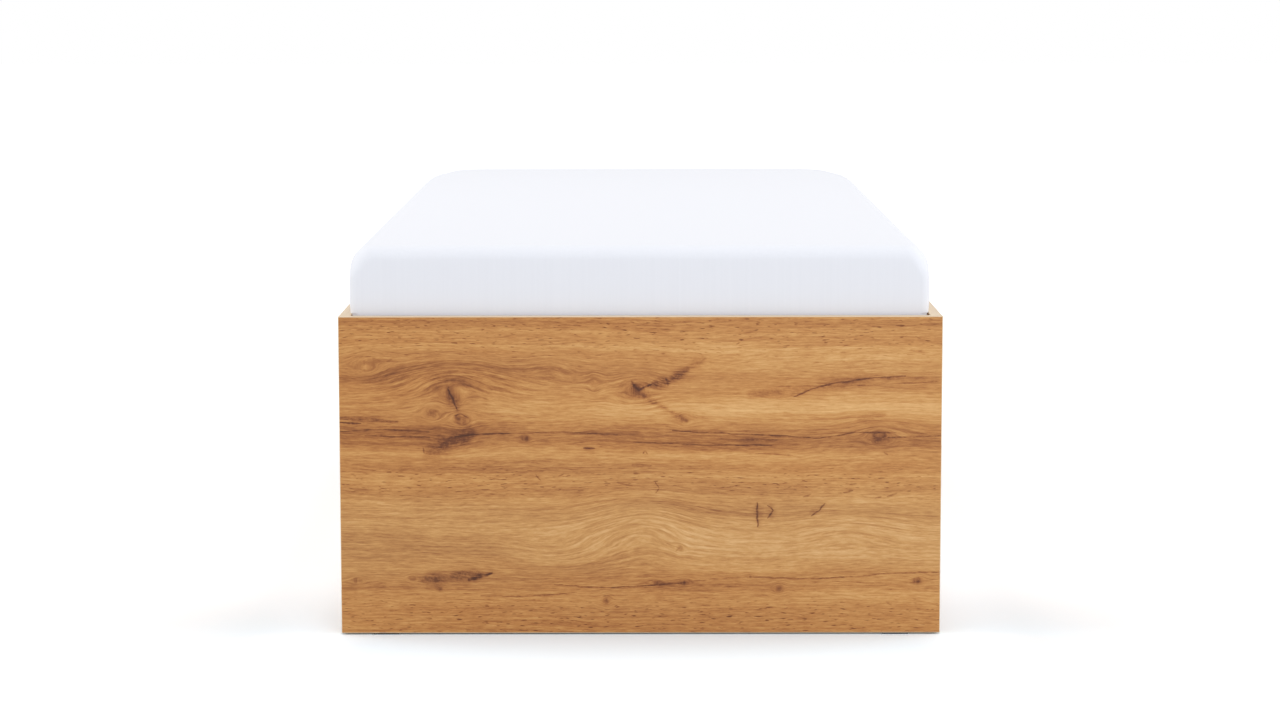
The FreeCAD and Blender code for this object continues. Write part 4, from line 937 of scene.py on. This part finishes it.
def soft_form(low, high, hem=None):
    """A foam block under stretched cloth, as rings of points from below up to its top, closed by a grid.

    With a hem it ends in a strip of that width under the block, otherwise a grid closes it below too.
    """
    half_width = (high.x - low.x) / 2
    half_length = (high.y - low.y) / 2
    middle = (low + high) / 2
    top = high.z + TOP_LIFT
    ring = plan_ring(half_width, half_length, HEAD_CORNER, FOOT_CORNER)
    wall_ring = plan_ring(half_width, half_length, HEAD_CORNER, WALL_CORNER)
    count = len(ring)
    level_wall = [0.0] * count
    radii = [top_round(facing) for _, facing in ring]
    rows = []

    def settled(plan, height):
        """Bulges over the side panels, rises to a low crown, and droops at the two corners by the head."""
        across = plan.x * (1 + side_bulge(height) / half_width)
        far = limited((plan.y - half_length + DROOP_REACH) / DROOP_REACH) ** 2
        edge = (half_width - abs(plan.x)) / DROOP_EDGE
        raised_share = max((height - panel_top) / (top - panel_top), 0.0)
        height -= HEAD_DROOP * far * math.exp(-edge * edge) * raised_share
        crown = TOP_CROWN * (1 - (plan.x / half_width) ** 2) * (1 - (plan.y / half_length) ** 2)
        wave = WAVE_HEIGHT * noise.noise(WAVES * Vector((plan.x, plan.y, height)))
        height += (crown + wave) * raised_share
        return Vector((middle.x + across, middle.y + plan.y, height))

    def add_row(heights, insets):
        """Points all round the form, each at its own height and set in by its own inset."""
        row = []
        for (place, facing), (wall_place, _), height, inset in zip(ring, wall_ring, heights, insets):
            row.append(settled(place.lerp(wall_place, wall_share(height)) - facing * inset, height))
        rows.append(row)

    base_rim = [place - facing * BASE_ROUND for place, facing in ring]
    for step in range(UNDER_RINGS if hem else 0):
        inset = hem * (1 - step / UNDER_RINGS)
        narrow = 1 - inset / (half_width - BASE_ROUND)
        short = 1 - inset / (half_length - BASE_ROUND)
        rows.append([settled(Vector((place.x * narrow, place.y * short)), low.z) for place in base_rim])
    for up, inset in rounding(EDGE_STEPS):
        add_row([low.z + BASE_ROUND * up] * count, [BASE_ROUND * inset] * count)
    for level in WALL_LEVELS:
        add_row([panel_top + level * MM] * count, level_wall)
    start = panel_top + WALL_LEVELS[-1] * MM
    for step in range(1, UPPER_STEPS):
        add_row([start + (top - radius - start) * step / UPPER_STEPS for radius in radii], level_wall)
    for inset, down in rounding(EDGE_STEPS):
        add_row([top - radius * down for radius in radii], [radius * inset for radius in radii])
    rim = [place - facing * radius for (place, facing), radius in zip(ring, radii)]
    inside = (half_width - FIELD_SIDE, half_length - FIELD_END, FIELD_HEAD_CORNER, FIELD_FOOT_CORNER)
    field = [place for place, _ in plan_ring(*inside)]
    for step in range(1, MARGIN_RINGS + 1):
        share = step / MARGIN_RINGS
        rows.append([settled(outer.lerp(inner, share), top) for outer, inner in zip(rim, field)])

    vertices = [vertex for row in rows for vertex in row]
    faces = ring_faces(0, len(rows), count)
    inner, closing = across_rim(field, len(vertices) - count, len(vertices))
    vertices += [settled(place, top) for place in inner]
    faces += closing
    if not hem:
        inner, closing = across_rim(base_rim, 0, len(vertices))
        vertices += [settled(place, low.z) for place in inner]
        faces += closing
    return vertices, faces


foam = soft_form(mattress_low, mattress_high)
mattress = soft_piece("mattress_foam", *foam, "lift_base", "mattress_ticking", "mattress")

cloth = soft_form(sheet_low, sheet_high, HEM_TURN)
sheet = soft_piece("sheet_fitted", *cloth, "lift_base", "sheet_cotton", "fitted_sheet")


# pull strap and rest pads

STRAP_THICK = 1.9 * MM
STRAP_EASE = 0.3 * MM
STRAP_LAYER = 2.0 * MM
BEND = 3.5 * MM
# Heights at which the strap's two layers part and join, from its end and from the top of its loop.
END_HOLD = 2 * MM
TAIL_HOLD = 40 * MM
TAIL_START = 14 * MM
JOIN_ABOVE = 6 * MM
JOIN_BELOW = 10 * MM
JOIN_HOLD = 18 * MM
# Half of the strap's section, as shares of its half width and of its half thickness.
HALF_SECTION = (
    (1.0, 0.0), (0.985, 0.7), (0.93, 1.0), (0.4, 1.0), (-0.4, 1.0), (-0.93, 1.0), (-0.985, 0.7),
)
STRAP_SMOOTHING = 2
STITCH = 2.6 * MM
STITCH_PITCH = 3.6 * MM
SEAM_MARGIN = 3.5 * MM
SEAM_HEIGHT = 17 * MM
END_SEAMS = (6 * MM, 9 * MM)
THREAD_RADIUS = 0.35 * MM
# How far the thread stands clear of the inner layer and sinks into the outer one, in thread radii.
THREAD_CLEAR = 0.6
THREAD_SUNK = 0.4
THREAD_SIDES = 8
THREAD_RINGS = 6
PAD_CORNER = 3 * MM
PAD_EDGE = 0.9 * MM
PAD_BEVEL = 0.3 * MM
PAD_STEPS = 6

strap_low, strap_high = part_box("pull_strap")
tube_low, tube_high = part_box("foot_tube")
strap_middle = (strap_low.x + strap_high.x) / 2
strap_half = (strap_high.x - strap_low.x) / 2


def strap_course():
    """The strap's middle line in Y and Z: down its tail, round the foot tube and up to the tail's end."""
    near = STRAP_EASE + STRAP_THICK / 2
    inner = tube_low.y - near
    outer = inner - STRAP_LAYER
    back = tube_high.y + near
    base = tube_low.z - near
    over = tube_high.z + near
    end = strap_high.z
    outer_layer = [
        (outer, end), (outer, end - END_HOLD), (outer, over + TAIL_HOLD), (outer, over + TAIL_START),
        (outer, over + JOIN_ABOVE), (inner, over - JOIN_BELOW), (inner, over - JOIN_HOLD),
    ]
    loop = [
        (inner, base + BEND), (inner, base), (inner + BEND, base),
        (back - BEND, base), (back, base), (back, base + BEND),
        (back, over - BEND), (back, over), (back - BEND, over),
        (inner + BEND, over), (inner, over), (inner, over + BEND),
    ]
    inner_layer = [
        (inner, over + TAIL_START), (inner, over + TAIL_HOLD), (inner, end - END_HOLD), (inner, end),
    ]
    return [Vector(point) for point in outer_layer + loop + inner_layer]


def pull_strap():
    """Flat webbing with soft edges, swept along its course."""
    thick = STRAP_THICK / 2
    section = list(HALF_SECTION) + [(-across, -out) for across, out in HALF_SECTION]
    course = strap_course()
    vertices = []
    for step, point in enumerate(course):
        before = course[max(step - 1, 0)]
        after = course[min(step + 1, len(course) - 1)]
        run = (after - before).normalized()
        side = Vector((run.y, -run.x))
        for across, out in section:
            place = point + side * (out * thick)
            vertices.append((strap_middle + across * strap_half, place.x, place.y))
    count = len(section)
    faces = [tuple(range(count)), tuple(range(len(vertices) - count, len(vertices)))]
    faces += ring_faces(0, len(course), count)
    strap = soft_piece("strap_webbing", vertices, faces, "lift_base", "webbing", "pull_strap")
    smooth = strap.modifiers.new("smooth", "SUBSURF")
    smooth.levels = STRAP_SMOOTHING
    smooth.render_levels = STRAP_SMOOTHING


def strap_stitches():
    """Thread through both layers of the tail: a crossed square above the tube and two rows at the end."""
    wide = strap_half - SEAM_MARGIN
    low = tube_high.z + SEAM_HEIGHT
    high = low + 2 * wide
    square = [(-wide, low), (wide, low), (wide, high), (-wide, high)]
    seams = list(zip(square, square[1:] + square[:1]))
    seams += [(square[0], square[2]), (square[3], square[1])]
    for drop in END_SEAMS:
        seams.append(((-wide, strap_high.z - drop), (wide, strap_high.z - drop)))
    inner_face = tube_low.y - STRAP_EASE - THREAD_RADIUS * THREAD_CLEAR
    outer_face = tube_low.y - STRAP_EASE - STRAP_THICK - STRAP_LAYER + THREAD_RADIUS * THREAD_SUNK
    shape = Matrix.Diagonal((STITCH / 2, THREAD_RADIUS, THREAD_RADIUS, 1.0))
    work = bmesh.new()
    for start, finish in seams:
        run = Vector(finish) - Vector(start)
        count = max(round(run.length / STITCH_PITCH), 1)
        turn = Matrix.Rotation(-math.atan2(run.y, run.x), 4, "Y")
        for step in range(count):
            place = Vector(start) + run * ((step + MIDDLE) / count)
            for depth in (inner_face, outer_face):
                spot = Matrix.Translation((strap_middle + place.x, depth, place.y))
                bmesh.ops.create_uvsphere(
                    work, u_segments=THREAD_SIDES, v_segments=THREAD_RINGS, radius=1.0,
                    matrix=spot @ turn @ shape,
                )
    mesh = bpy.data.meshes.new("strap_stitches")
    work.to_mesh(mesh)
    work.free()
    add_piece("strap_stitches", mesh, finishes["thread"], "lift_base")


def solids_of(node):
    """The lowest and highest corners of each separate solid of a node."""
    work = bmesh.new()
    work.from_mesh(frame["nodes"][node].data)
    bmesh.ops.remove_doubles(work, verts=work.verts, dist=0.001 * MM)
    waiting = set(work.verts)
    boxes = []
    while waiting:
        island = []
        found = [waiting.pop()]
        while found:
            vertex = found.pop()
            island.append(vertex.co.copy())
            for edge in vertex.link_edges:
                other = edge.other_vert(vertex)
                if other in waiting:
                    waiting.remove(other)
                    found.append(other)
        boxes.append([
            Vector([pick(place[axis] for place in island) for axis in range(3)]) for pick in (min, max)
        ])
    work.free()
    return boxes


def rest_pads():
    """Felt pads with round corners and soft upper edges, flat where they lie and where the frame rests."""
    vertices = []
    faces = []
    for low, high in solids_of("rest_pads"):
        middle = (low + high) / 2
        reach = (high - low) / 2
        outline = []
        for quarter, (x_sign, y_sign) in enumerate(CORNER_SIGNS):
            centre = Vector((x_sign * (reach.x - PAD_CORNER), y_sign * (reach.y - PAD_CORNER)))
            for step in range(PAD_STEPS + 1):
                outline.append((centre, heading(QUARTER * (quarter + step / PAD_STEPS))))
        levels = [(PAD_BEVEL, low.z), (0.0, low.z + PAD_BEVEL)]
        levels += [(PAD_EDGE * inset, high.z - PAD_EDGE * down) for inset, down in rounding(PAD_STEPS)]
        first = len(vertices)
        for inset, height in levels:
            for centre, facing in outline:
                place = centre + facing * (PAD_CORNER - inset)
                vertices.append((middle.x + place.x, middle.y + place.y, height))
        count = len(outline)
        faces += ring_faces(first, len(levels), count)
        faces.append(tuple(reversed(range(first, first + count))))
        faces.append(tuple(range(len(vertices) - count, len(vertices))))
    pads = soft_piece("felt_pads", vertices, faces, "carcass", "felt", "rest_pads", smooth=False)


pull_strap()
strap_stitches()
rest_pads()


# floor, light and camera

FLOOR_SIZE = 60.0
# How brightly the floor shows: open, close before and behind the bed, and beside it. The lower levels close
# to the bed are painted shadow in the floor's colour.
FLOOR_LEVEL = 1.21
CONTACT_SHADE_LEVEL = 1.10
CONTACT_REACH = 0.3
SIDE_SHADE_LEVEL = 1.04
SIDE_LIFT = 0.115
SIDE_NEAR = (0.04, 0.16)
SIDE_REACH = (0.25, 0.6)
SIDE_END = (0.06, 0.2)
# Beside the bed the floor is painted brighter behind the foot, which fades the shadow out there, and far away
# it gets brighter all round.
BEHIND_PAINTED_LIGHT = 0.19
BEHIND_REACH = (0.05, 0.5)
FAR_LIFT = 0.8
FAR_REACH = (2.4, 7.0)
# Tints that even out the warm light from the decor.
NEAR_TINT = (0.89, 1.0, 1.09)
FAR_TINT = (0.975, 1.0, 1.02)
TINT_REACH = 0.7
SIDE_TINT_REACH = 0.33
CORNER_FADE = 0.08
FLOOR_BOUNCE = 0.58
WORLD_LIGHT = 0.66
WARM_LIGHT = (1.0, 0.98, 0.95)
COOL_LIGHT = (0.95, 0.985, 1.03)
# Lights: name, place, the point that it faces, width, height, watts, colour.
LIGHTS = (
    ("top_light", (0.0, 0.3, 4.6), (0.0, 0.3, 0.0), 5.0, 6.0, 55.0, WARM_LIGHT),
    ("left_light", (-4.2, 0.0, 1.7), (0.0, 0.0, 0.3), 4.0, 2.4, 72.0, WARM_LIGHT),
    ("right_light", (4.2, 0.0, 1.7), (0.0, 0.0, 0.3), 4.0, 2.4, 64.0, WARM_LIGHT),
    ("front_light", (1.0, -6.6, 1.4), (0.0, -1.0, 0.3), 3.0, 2.4, 106.0, COOL_LIGHT),
)
CAMERA_LENS = 89.53
SENSOR_WIDTH = 36.0
VIEW_DEPTH = 200.0
CAMERA_HEIGHT = 1.0334
CAMERA_BACK = 4.915
CAMERA_SIDE = -0.7 * MM
CAMERA_TILT = math.radians(6.947)
CAMERA_ROLL = math.radians(0.06)


def floor_fill(bench):
    """Pale ground that shows white and keeps the object's shadow, with painted shadow in its colour close
    round the bed and painted light beside the bed behind the foot.
    """
    place = bench.place()
    reach = bench.out(bench.node("VectorMath", {0: place}, operation="LENGTH"), 1)
    lift = bench.step(reach, *FAR_REACH) * FAR_LIFT
    x, y, _ = bench.parts(place)
    across = bench.math("ABSOLUTE", x) - cad_bounds[1].x
    lengthwise = bench.math("ABSOLUTE", y) - cad_bounds[1].y
    gap = bench.most(across, lengthwise)
    outside = bench.math("MINIMUM", across, lengthwise)
    past_corner = bench.step(outside, -CORNER_FADE, CORNER_FADE)
    beside = bench.step(across - lengthwise, -CORNER_FADE, CORNER_FADE)
    end_away = bench.step(gap, 0.0, TINT_REACH)
    side_away = bench.step(gap, 0.0, SIDE_TINT_REACH)
    away = bench.most(end_away + beside * (side_away - end_away), past_corner)
    end_clear = bench.most(bench.step(gap, 0.0, CONTACT_REACH), past_corner)
    side_clear = bench.most(bench.step(gap, *SIDE_REACH), bench.step(outside, *SIDE_END))
    behind = bench.step(y - cad_bounds[0].y, *BEHIND_REACH)
    # Painted shadow: the floor's colour is darker close before and behind the bed and in a band beside it,
    # and painted lighter beside it behind the foot.
    end_shade_level = CONTACT_SHADE_LEVEL + end_clear * (FLOOR_LEVEL - CONTACT_SHADE_LEVEL)
    side_near = SIDE_SHADE_LEVEL + SIDE_LIFT * (1.0 - bench.step(gap, *SIDE_NEAR))
    side_shade_level = (side_near + side_clear * (FLOOR_LEVEL - side_near)) * (1.0 + BEHIND_PAINTED_LIGHT * behind)
    level = end_shade_level + beside * (side_shade_level - end_shade_level)
    seen = bench.seen()
    levels = [
        FLOOR_BOUNCE + seen * (lift + level * (near + away * (far - near)) - FLOOR_BOUNCE)
        for near, far in zip(NEAR_TINT, FAR_TINT)
    ]
    return {"Color": bench.vector(*levels)}


half = FLOOR_SIZE / 2
floor_mesh = bpy.data.meshes.new("studio_floor")
floor_mesh.from_pydata([(x * half, y * half, 0.0) for x, y in CORNER_SIGNS], [], [(0, 1, 2, 3)])
floor_mesh.materials.append(make_material("studio_floor", floor_fill, "BsdfDiffuse"))
floor = bpy.data.objects.new("studio_floor", floor_mesh)
scene.collection.objects.link(floor)

world = bpy.data.worlds.new("studio_world")
scene.world = world
world.use_nodes = True
world.node_tree.nodes.clear()
sky = Bench(world.node_tree)
strength = WORLD_LIGHT + sky.seen() * (1.0 - WORLD_LIGHT)
background = sky.node("Background", {"Color": (1.0, 1.0, 1.0, 1.0), "Strength": strength})
sky.feed(sky.node("OutputWorld").inputs["Surface"], sky.out(background))

for name, place, target, width, height, watts, colour in LIGHTS:
    light = bpy.data.lights.new(name, "AREA")
    light.shape = "RECTANGLE"
    light.size = width
    light.size_y = height
    light.energy = watts
    light.color = colour
    lamp = bpy.data.objects.new(name, light)
    lamp.location = place
    lamp.rotation_euler = (Vector(target) - Vector(place)).to_track_quat("-Z", "Y").to_euler()
    scene.collection.objects.link(lamp)

lens = bpy.data.cameras.new("photo_camera")
lens.sensor_width = SENSOR_WIDTH
lens.lens = CAMERA_LENS
lens.clip_end = VIEW_DEPTH
camera = bpy.data.objects.new("photo_camera", lens)
facing = Euler((QUARTER - CAMERA_TILT, 0.0, 0.0)).to_matrix() @ Matrix.Rotation(-CAMERA_ROLL, 3, "Z")
spot = Matrix.Translation((CAMERA_SIDE, cad_bounds[0].y - CAMERA_BACK, CAMERA_HEIGHT))
camera.matrix_world = spot @ facing.to_4x4()
scene.collection.objects.link(camera)
scene.camera = camera
scene.view_settings.view_transform = "Standard"
